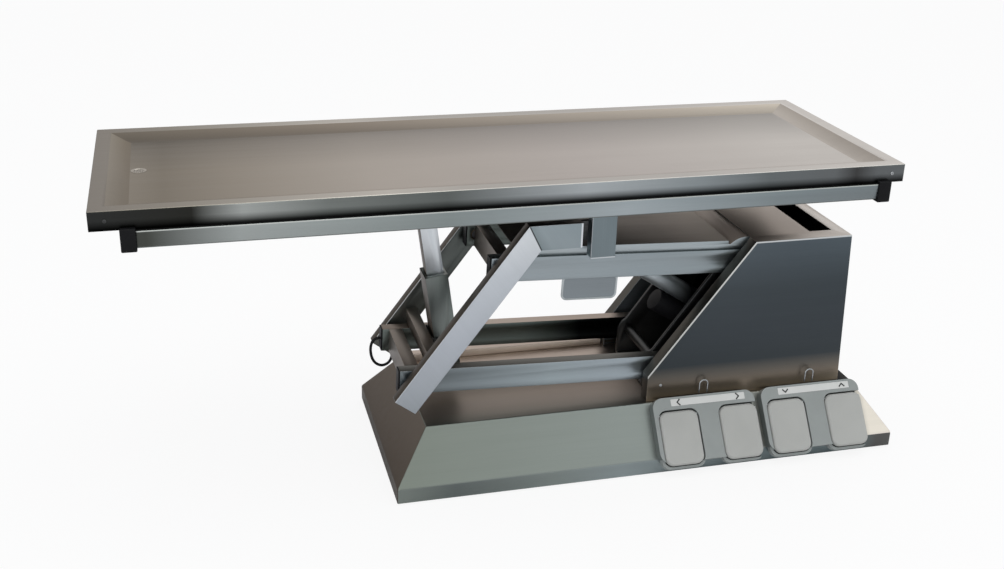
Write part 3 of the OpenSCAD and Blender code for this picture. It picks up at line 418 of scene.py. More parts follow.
def brushed(name, colour, spread=0.04, roughness=0.4, metallic=1.0, relief=0.04, turn=0.0,
            across=0.0, along=None, fade=None, bands=(), **sockets):
    """Brushed metal. Its tone may change along one axis, fade along another and have bands, which paint
    light, shade and highlights into it.
    """
    material, tree, shader = start_material(name, roughness, metallic, **sockets)
    grain = use_group(tree, brush_grain, Turn=turn, Across=across)
    lines, streaks, clouds = [math_node(tree, "MULTIPLY", grain.outputs[title], share)
                              for title, share in (("Lines", 0.35), ("Streaks", 0.40), ("Clouds", 0.25))]
    blend = math_node(tree, "ADD", lines, math_node(tree, "ADD", streaks, clouds))
    strength = map_range(tree, blend, 0.36, 0.64, 1 - spread, 1 + spread)
    if fade:
        axis, start, end, left = fade
        dim = map_range(tree, axis_of(tree, axis), start, end, 1.0, left)
        strength = math_node(tree, "MULTIPLY", strength, dim)
    tone = tone_along(tree, colour, along) if along else linear(*colour)
    for normal, start, end, soft, rgb in bands:
        tone = mixed(tree, band_of(tree, normal, start, end, soft), tone, linear(*rgb))
    scaled = tree.nodes.new("ShaderNodeVectorMath")
    scaled.operation = "SCALE"
    if isinstance(tone, tuple):
        scaled.inputs[0].default_value = tone[:3]
    else:
        tree.links.new(tone, scaled.inputs[0])
    tree.links.new(strength, scaled.inputs["Scale"])
    tree.links.new(scaled.outputs[0], shader.inputs["Base Color"])
    uneven = math_node(tree, "MULTIPLY", grain.outputs["Streaks"], 0.16)
    tree.links.new(math_node(tree, "ADD", roughness - 0.08, uneven), shader.inputs["Roughness"])
    bump(tree, shader, grain.outputs["Lines"], relief, 0.0004)
    return material


def moulded(name, colour, spread=0.04, roughness=0.5, fineness=1.0, relief=0.15, **sockets):
    """Moulded plastic or rubber: a fine skin and a slow mottle."""
    material, tree, shader = start_material(name, roughness, 0.0, **sockets)
    skin = use_group(tree, moulded_skin, Fineness=fineness)
    dark, light = [tuple(min(1.0, c * share) for c in linear(*colour)[:3]) + (1.0,)
                   for share in (1 - spread, 1 + spread)]
    tone = ramp_between(tree, skin.outputs["Mottle"], [(0.35, dark), (0.65, light)])
    tree.links.new(tone, shader.inputs["Base Color"])
    uneven = math_node(tree, "MULTIPLY", skin.outputs["Mottle"], 0.12)
    tree.links.new(math_node(tree, "ADD", roughness - 0.06, uneven), shader.inputs["Roughness"])
    bump(tree, shader, skin.outputs["Pimples"], relief, 0.0003)
    return material


# Places that both shapes and tones follow

TOP_LO, TOP_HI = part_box("tray_pan")
RIM, BORDER, DROP = 0.025, 0.036, 0.012
DECK = skirt_hi.z
HOUSING_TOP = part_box("housing_cover")[1].z
RAIL_LOW, RAIL_TOP = (corner.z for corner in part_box("rail_near"))
PLATE_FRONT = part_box("name_plate")[0].y
TOP_LONG = ("X", -0.79, 0.71)
PAST_END = 2.0

# Directions seen from the side, as x and z: the arms' rake gives the housing's front and the mitre
RAKE = radians(53)
UPWARD, ALONG = (0, 1), (1, 0)
FRONT = (sin(RAKE), -cos(RAKE))
FRONT_AT = min(v.co.x * FRONT[0] + v.co.z * FRONT[1]
               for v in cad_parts["housing_cover"].data.vertices if v.co.z > DECK + 0.07)
MITRE = (cos(RAKE / 2), sin(RAKE / 2))
MITRE_AT = 0.2281

# Sheet metal of the top
# Painted reflection: the floor's tone changes along the table, and painted shade darkens it towards the
# far side
sheet_top = brushed(
    "sheet_floor",
    [(0.0, (134, 126, 115)), (0.08, (111, 102, 88)), (0.16, (136, 127, 115)), (0.33, (166, 158, 150)),
     (0.6, (178, 171, 167)), (0.9, (196, 192, 188))],
    spread=0.05, roughness=0.36, relief=0.05, along=TOP_LONG, fade=("Y", -0.02, 0.2, 0.55))
# Painted reflection: the rim's tone changes along the table
sheet_rim = brushed(
    "sheet_rim",
    [(0.0, (124, 118, 111)), (0.09, (136, 130, 121)), (0.33, (184, 179, 172)), (0.42, (171, 167, 162)),
     (0.7, (180, 176, 172)), (1.0, (204, 200, 196))],
    roughness=0.42, along=TOP_LONG)
# Painted reflection along the table, with painted shade deepening down the far border towards the floor
border_far = brushed(
    "sheet_border_far",
    [(0.05, (112, 104, 94)), (0.3, (134, 124, 113)), (0.7, (168, 159, 149)), (1.0, (196, 187, 175))],
    roughness=0.5, along=TOP_LONG, fade=("Y", TOP_HI.y - RIM - 0.003, TOP_HI.y - RIM - 0.033, 0.74))
# Painted light: the right border is lighter, graded across its width
border_right = brushed(
    "sheet_border_right",
    [(0.0, (177, 170, 163)), (1.0, (156, 148, 140))],
    roughness=0.5, along=("X", TOP_HI.x - RIM - BORDER, TOP_HI.x - RIM))
# Painted shade: the left border is browner and darker, graded across its width
border_left = brushed(
    "sheet_border_left",
    [(0.0, (138, 131, 121)), (0.5, (128, 120, 109)), (1.0, (117, 108, 96))],
    roughness=0.5, along=("X", TOP_LO.x + RIM, TOP_LO.x + RIM + BORDER))
# Painted highlight on the corner creases of the sunk floor
crease_painted_highlight = brushed("sheet_crease_painted_highlight", (208, 203, 196), spread=0.03, roughness=0.45, relief=0.02)
# Painted reflection and shade: light and dark patches along the table, a dark left end, and painted
# shade darkening the apron towards its low edge
sheet_apron = brushed(
    "sheet_apron",
    [(0.0, (50, 51, 50)), (0.11, (44, 44, 41)), (0.165, (160, 163, 160)), (0.26, (117, 121, 118)),
     (0.4, (98, 102, 100)), (0.57, (170, 175, 177)), (0.72, (143, 150, 152)), (0.81, (108, 113, 114)),
     (0.9, (108, 111, 112)), (0.93, (70, 70, 70)), (0.96, (106, 109, 110))],
    spread=0.07, roughness=0.34, relief=0.05, along=TOP_LONG,
    fade=("Z", TOP_HI.z - 0.0174, TOP_LO.z + 0.0036, 0.1))
# Painted reflection along the table, with a painted highlight on the rail's top edge and painted shade
# on its low edge
rail_steel = brushed(
    "rail_steel",
    [(0.06, (73, 75, 71)), (0.16, (159, 164, 162)), (0.4, (137, 145, 144)), (0.62, (166, 174, 177)),
     (0.82, (136, 145, 147)), (1.0, (128, 134, 136))],
    spread=0.05, roughness=0.34, along=TOP_LONG,
    bands=[(UPWARD, RAIL_TOP - 0.0018, PAST_END, 0.0006, (190, 193, 189)),
           (UPWARD, 0.0, RAIL_LOW + 0.0014, 0.0008, (108, 112, 110))])
# Painted shadow on the rails' upper faces, under the apron
rail_top_painted_shadow = brushed(
    "rail_top_face_painted_shadow", (16, 16, 16),
    spread=0.1, roughness=0.7, metallic=0.0, relief=0.1, Specular_IOR_Level=0.1)

# Sheet metal of the base and the housing
# Painted reflection: the near slope's tone changes along the base, with painted light at its right end
sheet_slope = brushed(
    "sheet_slope",
    [(0.0, (123, 128, 122)), (0.48, (142, 147, 145)), (0.93, (150, 148, 142)),
     (0.955, (234, 224, 214))],
    roughness=0.38, along=("X", skirt_lo.x + 0.03, skirt_hi.x - 0.002))
# Painted reflection: the lip's tone changes along the base, with painted shade at its right end
sheet_lip = brushed(
    "sheet_lip",
    [(0.0, (135, 142, 137)), (0.09, (113, 120, 118)), (0.28, (143, 151, 148)), (0.42, (158, 168, 169)),
     (0.65, (123, 134, 136)), (0.92, (114, 127, 129)), (0.97, (98, 98, 96))],
    spread=0.05, roughness=0.38, along=("X", skirt_lo.x + 0.02, skirt_hi.x - 0.002))
# Painted shade and reflection: the base's left slope in brown, lighter upwards
left_slope_painted_shade = brushed(
    "left_slope_painted_shade",
    [(0.0, (80, 71, 62)), (1.0, (98, 89, 80))],
    spread=0.05, roughness=0.42, along=("Z", 0.03, 0.13))
# Painted light on the base's right slope
right_slope_painted_light = brushed("right_slope_painted_light", (226, 220, 214), spread=0.03)
# Painted reflection: the deck is brown at its near side and beige towards the far side
sheet_deck = brushed(
    "sheet_deck",
    [(0.0, (118, 115, 108)), (0.2, (142, 133, 125)), (0.45, (170, 157, 147)), (1.0, (180, 166, 156))],
    along=("Y", -0.15, 0.05))
# Painted light and reflection: the side panel is warm and light near the deck and slate above, with
# painted highlights along the front fold and the top edge
sheet_panel = brushed(
    "sheet_panel",
    [(0.03, (190, 173, 154)), (0.09, (126, 116, 104)), (0.15, (103, 99, 93)), (0.22, (64, 69, 72)),
     (0.4, (66, 71, 75)), (0.7, (70, 76, 80)), (0.98, (86, 94, 100))],
    spread=0.05, roughness=0.36, along=("Z", DECK, HOUSING_TOP),
    bands=[(FRONT, FRONT_AT - 0.01, FRONT_AT + 0.0026, 0.0015, (212, 212, 208)),
           (UPWARD, HOUSING_TOP - 0.003, PAST_END, 0.0008, (206, 208, 208))])
# Painted shade on the housing's folds that face left
fold_painted_shade = brushed("fold_painted_shade", (84, 82, 78), spread=0.06)
# Painted shade: the housing's inside is near black, with painted light just behind the front opening
hollow_painted_shade = brushed(
    "hollow_painted_shade", (30, 30, 30),
    spread=0.1, roughness=0.5, relief=0.05,
    bands=[(FRONT, FRONT_AT - 0.01, FRONT_AT + 0.02, 0.07, (160, 168, 173))])
# Painted light: the lid is lightened against the top's shade and grows lighter to the right as a painted
# reflection
sheet_lid = brushed(
    "sheet_lid",
    [(0.0, (192, 180, 170)), (0.5, (190, 181, 174)), (1.0, (212, 207, 202))],
    roughness=0.42, along=("X", 0.45, 0.68))
# Painted shade: the link cover is dark brown under the top and lightens towards the housing
sheet_cover = brushed(
    "sheet_cover",
    [(0.0, (104, 98, 92)), (0.5, (112, 105, 99)), (1.0, (168, 160, 152))],
    spread=0.05, roughness=0.44, along=("X", 0.1, 0.5))
# Painted light on the link cover's nose and near side
cover_nose_painted_light = brushed("sheet_cover_nose_painted_light", (190, 176, 165), spread=0.05, roughness=0.44, metallic=0.3)
cover_side_painted_light = brushed("sheet_cover_side_painted_light", (172, 180, 183), spread=0.05)
# Painted shade on the sheets' undersides and inner faces
inner_painted_shade = brushed("sheet_inner_painted_shade", (30, 30, 30), spread=0.12, roughness=0.6, relief=0.05)

# Tubes
# Painted shade: the lower links' faces darken towards the left
tube_low = brushed(
    "tube_low",
    [(0.0, (117, 124, 127)), (0.5, (155, 165, 169)), (0.85, (160, 169, 175)), (1.0, (150, 158, 160))],
    spread=0.05, roughness=0.36, along=("X", -0.18, 0.29))
# Painted reflection: a slight tone change along the upper links' faces
tube_high = brushed(
    "tube_high",
    [(0.0, (154, 162, 166)), (0.55, (151, 160, 164)), (1.0, (150, 158, 161))],
    spread=0.05, roughness=0.36, along=("X", 0.0, 0.44))
# Painted light: the near arm lightens upwards; painted shade on the stub past the mitre and a painted
# highlight at the arm's right end. The thin dark line at the mitre is the weld seam
tube_raked = brushed(
    "tube_raked",
    [(0.0, (178, 184, 190)), (0.4, (186, 191, 198)), (0.75, (196, 201, 206)), (0.95, (212, 216, 219))],
    roughness=0.36, turn=-RAKE, along=("Z", 0.17, 0.52),
    bands=[(MITRE, MITRE_AT, PAST_END, 0.001, (134, 145, 148)),
           (MITRE, MITRE_AT + 0.02, PAST_END, 0.02, (149, 159, 163)),
           (MITRE, MITRE_AT - 0.0006, MITRE_AT + 0.0006, 0.0012, (60, 62, 64)),
           (ALONG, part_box("arm_near")[1].x - 0.003, PAST_END, 0.001, (226, 228, 230))])
# Painted light and shade: the far arm is lighter at its low end and darker higher up, under the top
tube_raked_far = brushed(
    "tube_raked_far",
    [(0.0, (150, 152, 148)), (0.4, (104, 108, 105)), (0.9, (92, 97, 95))],
    spread=0.05, turn=-RAKE, along=("Z", 0.2, 0.52))
# Painted reflection and shade on the tubes' upper faces, set apart from their sides; the far ones
# lighten to the right
tube_top = brushed("tube_top_face", (108, 107, 103), spread=0.06)
tube_top_high = brushed("tube_top_face_high", (112, 119, 121), spread=0.06)
tube_top_far = brushed(
    "tube_top_face_far",
    [(0.0, (116, 106, 98)), (0.5, (126, 115, 107)), (1.0, (172, 158, 148))],
    spread=0.05, along=("X", -0.26, -0.1))
# Painted shade on the arms' upper faces
tube_top_raked_painted_shade = brushed("tube_top_face_raked_painted_shade", (72, 66, 60), spread=0.06, turn=-RAKE)
# Painted highlight on the tubes' near upper folds
tube_edge_painted_highlight = brushed("tube_edge_painted_highlight", (228, 230, 232), spread=0.03, roughness=0.34, relief=0.02)
# Painted shade: the far links' near faces fade to black towards the housing
tube_far_painted_shade = brushed(
    "tube_far_face_painted_shade",
    [(0.0, (104, 111, 107)), (0.55, (96, 103, 99)), (0.9, (20, 22, 22))],
    spread=0.05, along=("X", -0.15, 0.22))
# Painted highlight along the post's low edge
tube_post = brushed(
    "tube_post", (122, 133, 137),
    spread=0.05, roughness=0.38, turn=pi / 2,
    bands=[(UPWARD, 0.0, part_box("tray_posts")[0].z + 0.0022, 0.0006, (206, 210, 212))])
tube_plain = brushed("tube_plain", (120, 122, 122), spread=0.08, roughness=0.38, relief=0.05)
tube_across = brushed(
    "tube_across", (116, 108, 101),
    spread=0.06, roughness=0.38, relief=0.05, across=pi / 2)
# Painted light: the duct's side is near white and its top toned to match the deck
duct_top = brushed("duct_top_face", (176, 162, 152), relief=0.03)
duct_side_painted_light = brushed("duct_side_face_painted_light", (250, 234, 220), roughness=0.5, relief=0.03)
plate_face = brushed("plate_face", (136, 143, 147), relief=0.03)
plate_rim = brushed("plate_rim", (182, 188, 190), relief=0.03)
turned_steel = brushed("turned_steel", (170, 172, 174), spread=0.08, roughness=0.28, across=pi / 2)
column_steel = brushed("column_steel", (212, 216, 219), roughness=0.3, relief=0.03, turn=pi / 2)
drain_steel = brushed("drain_steel", (158, 152, 144), spread=0.12, roughness=0.3, relief=0.06)
# Painted shade on the left faces of the tilt column and sleeve
column_side_painted_shade = brushed("column_side_face_painted_shade", (76, 68, 61), spread=0.06, relief=0.03, turn=pi / 2)
# Painted light and shade: the lift cylinder is near white by the housing's opening and fades to black
# further in
inside_painted_light_and_shade = brushed(
    "inside_painted_light_and_shade",
    [(0.0, (226, 234, 238)), (0.7, (206, 214, 218)), (1.0, (24, 26, 28))],
    spread=0.05, roughness=0.5, relief=0.02, along=("X", 0.22, 0.395))
sleeve_steel = brushed(
    "sleeve_steel", (118, 123, 120),
    spread=0.1, roughness=0.38, relief=0.06, turn=pi / 2)
# Painted shade: the brackets, beams and turned parts under the top and inside the base, and the screws
# at the left, take this dark steel
dark_steel = brushed("steel_painted_shade", (74, 74, 74), spread=0.14, roughness=0.42, relief=0.08)
bush_bronze = brushed("bush_bronze", (88, 78, 62), spread=0.12, roughness=0.38, relief=0.05)
black_plastic = moulded("black_plastic", (16, 16, 18), spread=0.25, Specular_IOR_Level=0.12)
cable_rubber = moulded(
    "cable_rubber", (20, 20, 21),
    spread=0.2, roughness=0.55, fineness=1.4, Specular_IOR_Level=0.2)
foot_rubber = moulded("foot_rubber", (22, 22, 22), spread=0.2, roughness=0.7, fineness=0.7)
pedal_body_plastic = moulded("pedal_body_plastic", (142, 147, 145), roughness=0.42, relief=0.08)
pedal_pad_plastic = moulded("pedal_pad_plastic", (168, 169, 165), spread=0.03, relief=0.12)
# Painted shade on the pedal body's side walls and on the wells under the pads
pedal_side_painted_shade = moulded("pedal_side_painted_shade", (104, 110, 108))
well_painted_shade = moulded("well_painted_shade", (34, 38, 40), spread=0.1, roughness=0.6)
label_film = moulded("label_film", (206, 207, 204), spread=0.02, roughness=0.35, relief=0.02)
print_black = moulded("print_black", (24, 24, 26), spread=0.1, relief=0.0)


# Cable

CABLE_R = 0.003


def model_cable():
    """The black service cable that loops out of the far link's end plug and back into the link."""
    start = Vector((-0.552, 0.1005, 0))
    # Route from the plug in millimetres, along the link and up
    steps = [(0, 0), (-6, 0), (-11, -2), (-16, -7), (-19, -15), (-20, -25), (-19, -36), (-16, -47),
             (-11, -56), (-4, -62), (4, -65), (12, -64), (19, -60), (24, -53), (26, -45), (27, -38),
             (27, -33), (27, -28)]
    points = [along_low @ (start + Vector((x, 0, z)) / 1000) for x, z in steps]
    curve = bpy.data.curves.new("service_cable", "CURVE")
    curve.dimensions = "3D"
    line = curve.splines.new("NURBS")
    line.points.add(len(points) - 1)
    for point, spot in zip(line.points, points):
        point.co = (*spot, 1.0)
    line.order_u = 3
    line.use_endpoint_u = True
    line.resolution_u = 6
    curve.bevel_depth = CABLE_R
    curve.bevel_resolution = 4
    curve.use_fill_caps = True
    cable = bpy.data.objects.new("service_cable", curve)
    scene.collection.objects.link(cable)
    curve.materials.append(cable_rubber)
    settle(cable, "lower_links", "black_plastic", "link_cable")
    return cable


# Table top

SHEET, HEM, FOLD = 0.002, 0.014, 0.0022
DRAIN_R, DRAIN_PLAY = 0.0143, 0.0002
STRAINER_THICK, STRAINER_PROUD, STRAINER_HOLE = 0.0019, 0.0003, 0.0012
STRAINER_RINGS = ((0.0, 1), (0.0042, 6), (0.0080, 12))


def model_top_pan():
    """The pressed top: hem, apron, flat rim, sloping border and sunk floor."""
    lo, hi = TOP_LO, TOP_HI

    def on_outline(mid, inside=0.0):
        """Over the pan's outline, or over a line that far inside it."""
        gaps = (mid.x - lo.x, hi.x - mid.x, mid.y - lo.y, hi.y - mid.y)
        return any(abs(gap - inside) < 1e-4 for gap in gaps)

    def at_height(mid, z):
        return abs(mid.z - z) < 1e-5

    # Painted light and shade by face: dark undersides, painted highlights on the creases, and lit and
    # shaded tones for the apron, rim and each border
    def finish_of(n, c):
        if n.z < -0.2 or c.z < lo.z + SHEET and abs(n.z) > 0.5:
            return inner_painted_shade
        if n.z < 0.3:
            return sheet_apron
        if c.z > hi.z - SHEET:
            return sheet_rim
        if abs(n.x) > 0.08 and abs(n.y) > 0.08:
            return crease_painted_highlight
        if n.y < -0.12:
            return border_far
        if abs(n.x) > 0.12:
            return border_right if n.x < 0 else border_left
        return sheet_top

    pan = block("top_pan", lo, hi)
    with editing(pan):
        pick_faces(pan, lambda mid, n: n.z < -0.9)
        bpy.ops.mesh.inset(thickness=HEM)
        bpy.ops.mesh.delete(type="FACE")
        pick_faces(pan, lambda mid, n: n.z > 0.9)
        bpy.ops.mesh.inset(thickness=RIM)
        bpy.ops.mesh.inset(thickness=BORDER, depth=-DROP)
        # Outer edge of the rim and the apron's corners
        pick_edges(pan, lambda mid, way: at_height(mid, hi.z) and on_outline(mid)
                   or abs(way.z) > 0.9 and mid.z < hi.z - 0.01)
        bpy.ops.mesh.bevel(offset=FOLD, segments=3, affect="EDGES")
        # Fold down from the rim
        pick_edges(pan, lambda mid, way: at_height(mid, hi.z) and on_outline(mid, RIM))
        bpy.ops.mesh.bevel(offset=0.003, segments=3, affect="EDGES")
        # Soft fold at the floor
        pick_edges(pan, lambda mid, way: at_height(mid, hi.z - DROP))
        bpy.ops.mesh.bevel(offset=0.007, segments=4, affect="EDGES")
        # Low edge of the apron, close over the rails
        pick_edges(pan, lambda mid, way: at_height(mid, lo.z) and on_outline(mid))
        bpy.ops.mesh.bevel(offset=0.0004, segments=2, affect="EDGES")
    modify(pan, "SOLIDIFY", thickness=SHEET, offset=-1.0, use_even_offset=True)
    drain_lo, drain_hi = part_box("drain")
    hole = rod("drain_hole", DRAIN_R, 0.02, ((drain_lo.x + drain_hi.x) / 2, 0, drain_hi.z), 64)
    join_solids(pan, [hole], "DIFFERENCE")
    smooth_sheet(pan)
    return settle(paint(pan, finish_of), "table_top", "pressed_steel", "tray_pan")


def model_drain():
    """Dished strainer with its holes, let into the floor over the CAD nut and spigot."""
    lo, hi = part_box("drain")
    middle = Vector(((lo.x + hi.x) / 2, 0, hi.z + STRAINER_PROUD))
    strainer = rod("drain_strainer", DRAIN_R - DRAIN_PLAY, STRAINER_THICK,
                   middle - Vector((0, 0, STRAINER_THICK / 2)), 64)
    with editing(strainer):
        pick_faces(strainer, lambda mid, n: n.z > 0.9)
        bpy.ops.mesh.inset(thickness=0.0028)
        bpy.ops.mesh.inset(thickness=0.0012, depth=-0.0009)
    holes = []
    for ring, count in STRAINER_RINGS:
        for i in range(count):
            spot = middle + Matrix.Rotation(2 * pi * i / count, 3, "Z") @ Vector((ring, 0, 0))
            holes.append(rod("strainer_hole", STRAINER_HOLE, 0.006, spot, 12))
    join_solids(strainer, holes, "DIFFERENCE")
    ease_edges(strainer, 0.0002, 2)
    dress(strainer, drain_steel)
    return settle(strainer, "table_top", "turned_steel")


def loose_parts(mesh):
    """Lowest and highest corner of each separate solid in a mesh."""
    graph = bmesh.new()
    graph.from_mesh(mesh)
    bmesh.ops.remove_doubles(graph, verts=graph.verts, dist=1e-6)
    met, parts = set(), []
    for first in graph.verts:
        if first in met:
            continue
        met.add(first)
        waiting, spots = [first], []
        while waiting:
            vert = waiting.pop()
            spots.append(vert.co.copy())
            for edge in vert.link_edges:
                other = edge.other_vert(vert)
                if other not in met:
                    met.add(other)
                    waiting.append(other)
        parts.append([Vector([most(c[i] for c in spots) for i in range(3)]) for most in (min, max)])
    graph.free()
    return parts


def screw_head(lo, hi):
    """A domed head with a socket, in the box of a CAD screw, facing away from the table."""
    size = hi - lo
    thin = min(range(3), key=lambda i: size[i])
    r, h = max(size) / 2, size[thin]
    head = rod("screw_head", r, h, (0, 0, h / 2), 32)
    with editing(head):
        pick_faces(head, lambda mid, n: n.z > 0.9)
        bpy.ops.mesh.bevel(offset=h * 0.55, segments=3, affect="EDGES")
        pick_faces(head, lambda mid, n: n.z > 0.99 and mid.z > h * 0.9)
        bpy.ops.mesh.inset(thickness=r * 0.28)
        bpy.ops.mesh.inset(thickness=r * 0.04, depth=-h * 0.6)
    middle = (lo + hi) / 2
    outward = Vector((0, 0, 0))
    outward[thin] = 1.0 if middle[thin] > 0 else -1.0
    turn = Vector((0, 0, 1)).rotation_difference(outward).to_matrix().to_4x4()
    return place(head, Matrix.Translation(middle - outward * (h / 2)) @ turn)


def model_screws():
    """Domed socket screws at the apron's ends and on the housing, darker at the left as painted shade.
    """
    for node, body in (("tray_screws", "table_top"), ("housing_screws", "base")):
        boxes = loose_parts(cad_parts[node].data)
        heads = merged(node + "_domed", [screw_head(lo, hi) for lo, hi in boxes])
        choose(heads)
        bpy.ops.object.shade_smooth_by_angle(angle=radians(40))
        # Painted shade on the screws at the left
        paint(heads, lambda n, c: dark_steel if c.x < 0 else turned_steel)
        settle(heads, body, "turned_steel", node)


# Base

def model_skirt():
    """The pressed cover of the base: lip, four slopes and deck, folded from one sheet."""
    lo, hi = skirt_lo, skirt_hi

    # Painted light and shade by face: dark undersides, a brown shaded left slope and a light beige right
    # slope
    def finish_of(n, c):
        if n.z < -0.2:
            return inner_painted_shade
        if n.z > 0.9:
            return sheet_deck
        if n.x < -0.5:
            return left_slope_painted_shade
        if n.x > 0.5 and c.z > LIP:
            return right_slope_painted_light
        return sheet_lip if n.z < 0.2 else sheet_slope

    skirt = block("base_cover", lo, (hi.x, hi.y, LIP))
    with editing(skirt):
        pick_faces(skirt, lambda mid, n: n.z > 0.9)
        bpy.ops.mesh.inset(thickness=SLOPE_RUN, depth=hi.z - LIP)
        pick_faces(skirt, lambda mid, n: n.z < -0.9)
        bpy.ops.mesh.delete(type="ONLY_FACE")
        pick_edges(skirt, lambda mid, way: mid.z > lo.z + 0.001)
        bpy.ops.mesh.bevel(offset=FOLD, segments=3, affect="EDGES")
    modify(skirt, "SOLIDIFY", thickness=SHEET, offset=-1.0, use_even_offset=True)
    smooth_sheet(skirt)
    return settle(paint(skirt, finish_of), "base", "pressed_steel", "base_skirt")


def model_housing():
    """The folded housing: slate sides and warm top, toned with painted light, reflections and
    highlights, and painted shade inside.
    """
    lo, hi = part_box("housing_cover")

    def finish_of(n, c):
        if n.z > 0.5 and c.z > hi.z - 0.004:
            return sheet_lid
        if abs(n.y) > 0.5:
            return sheet_panel if abs(c.y) > hi.y - 0.001 else hollow_painted_shade
        if n.z < -0.5 or n.x < -0.5 and c.x > hi.x - 0.03:
            return hollow_painted_shade
        return fold_painted_shade if n.x < -0.1 else sheet_panel

    housing = paint(eased_copy("housing_cover", 0.0009), finish_of)
    return settle(housing, "base", "pressed_steel", "housing_cover")


# Foot pedals

UNIT_LOW, UNIT_TOP, UNIT_HIGH, UNIT_WIDE, UNIT_RIM = -0.012, 0.121, 0.021, 0.226, 0.007
UNIT_CORNER = 0.021
PEDAL_LOW, PEDAL_LONG, PEDAL_WIDE, PEDAL_THICK = -0.0185, 0.1105, 0.084, 0.012
PEDAL_CORNER, PEDAL_RISE, PEDAL_ROUND = 0.0175, 0.004, 0.0055
PEDAL_GAP, SNUG_GAP = 0.003, 0.0014
CUP_WALL, CUP_HIGH, CUP_CORNER = 0.003, 0.013, 0.019
WELL_FLOOR, WELL_CORNER = 0.003, 0.018
PEDAL_MIDDLES = (UNIT_RIM + PEDAL_GAP + PEDAL_WIDE / 2, UNIT_WIDE - PEDAL_WIDE / 2)
LABEL_LEFT, LABEL_WIDE, LABEL_LOW, LABEL_TALL = 0.040, 0.165, 0.102, 0.015
LABEL_SUNK, LABEL_PLAY = 0.0008, 0.0003
ARROW_WIDE, ARROW_FROM_END = 0.0095, 0.017
UNITS = {"tilt_pedal_unit": ("pedal_tilt_left", "pedal_tilt_right"),
         "lift_pedal_unit": ("pedal_down", "pedal_up")}


def model_pedal_unit(node):
    """The moulded twin body: a bar over the pads, a rim on the left and a tongue between them."""
    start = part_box(node)[0].x
    unit = round_block(node + "_moulding", (0, UNIT_LOW, 0), (UNIT_WIDE, UNIT_TOP, UNIT_HIGH),
                       UNIT_CORNER, 8)
    cups, wells = [], []
    low = PEDAL_LOW - PEDAL_GAP
    high = PEDAL_LOW + PEDAL_LONG + PEDAL_GAP
    # The well of the right pedal runs out through the body's side
    for middle, past, wall in zip(PEDAL_MIDDLES, (0, 0.02), (CUP_WALL, 0)):
        half = PEDAL_WIDE / 2 + PEDAL_GAP
        snug = PEDAL_WIDE / 2 + SNUG_GAP
        cups.append(round_block("cup", (middle - half - CUP_WALL, low - CUP_WALL, 0.0005),
                                (middle + half + wall, UNIT_LOW + 0.05, CUP_HIGH), CUP_CORNER, 8))
        wells.append(round_block("well", (middle - snug, PEDAL_LOW - SNUG_GAP, WELL_FLOOR),
                                 (middle + half + past, high, 0.05), WELL_CORNER, 8))
    join_solids(unit, cups)
    join_solids(unit, wells, "DIFFERENCE")
    ease_edges(unit, 0.0028, 4)
    seat = block("label_seat", (LABEL_LEFT, LABEL_LOW, UNIT_HIGH - LABEL_SUNK),
                 (LABEL_LEFT + LABEL_WIDE, LABEL_LOW + LABEL_TALL, 0.03))
    join_solids(unit, [seat], "DIFFERENCE")

    # Painted shade: the wells' floors and walls and the body's left side are darker than the body
    def finish_of(n, c):
        in_well = c.z < 0.010 and c.x > UNIT_RIM and low + 0.0005 < c.y < high - 0.001
        if in_well and n.x < 0.5 and (c.y >= UNIT_LOW or n.z >= 0.9):
            return well_painted_shade
        if in_well and n.x >= 0.5 or n.x < -0.6 and c.x < 0.004:
            return pedal_side_painted_shade
        return pedal_body_plastic

    place(paint(unit, finish_of), on_slope @ Matrix.Translation((start, 0, 0)))
    return settle(unit, "base", "pedal_plastic", node)


def model_pedal(node):
    """A thick pad with a full round edge."""
    lo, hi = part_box(node)
    middle = (lo.x + hi.x) / 2
    top = UNIT_HIGH + PEDAL_RISE
    pad = round_block(node + "_pad", (-PEDAL_WIDE / 2, PEDAL_LOW, top - PEDAL_THICK),
                      (PEDAL_WIDE / 2, PEDAL_LOW + PEDAL_LONG, top), PEDAL_CORNER, 10)
    with editing(pad):
        pick_faces(pad, lambda mid, n: n.z > 0.9)
        bpy.ops.mesh.bevel(offset=PEDAL_ROUND, segments=6, affect="EDGES")
        pick_faces(pad, lambda mid, n: n.z < -0.9)
        bpy.ops.mesh.bevel(offset=0.002, segments=2, affect="EDGES")
    smooth_sheet(pad, 40.0)
    place(pad, on_slope @ Matrix.Translation((middle, 0, 0)))
    dress(pad, pedal_pad_plastic)
    return settle(pad, node + "_body", "pedal_plastic", node)


def chevron(name, spot, size, turn):
    """A plain arrow head of two strokes, flat on a label."""
    strokes = []
    for side in (-1, 1):
        bar = block(name, (-size / 2, -size * 0.14, 0), (size / 2, size * 0.14, 0.0003))
        lean = Matrix.Rotation(side * radians(-45), 4, "Z")
        strokes.append(place(bar, Matrix.Translation((side * size * 0.32, 0, 0)) @ lean))
    mark = join_solids(strokes[0], strokes[1:])
    mark.name = name
    return place(mark, Matrix.Translation(spot) @ Matrix.Rotation(turn, 4, "Z"))


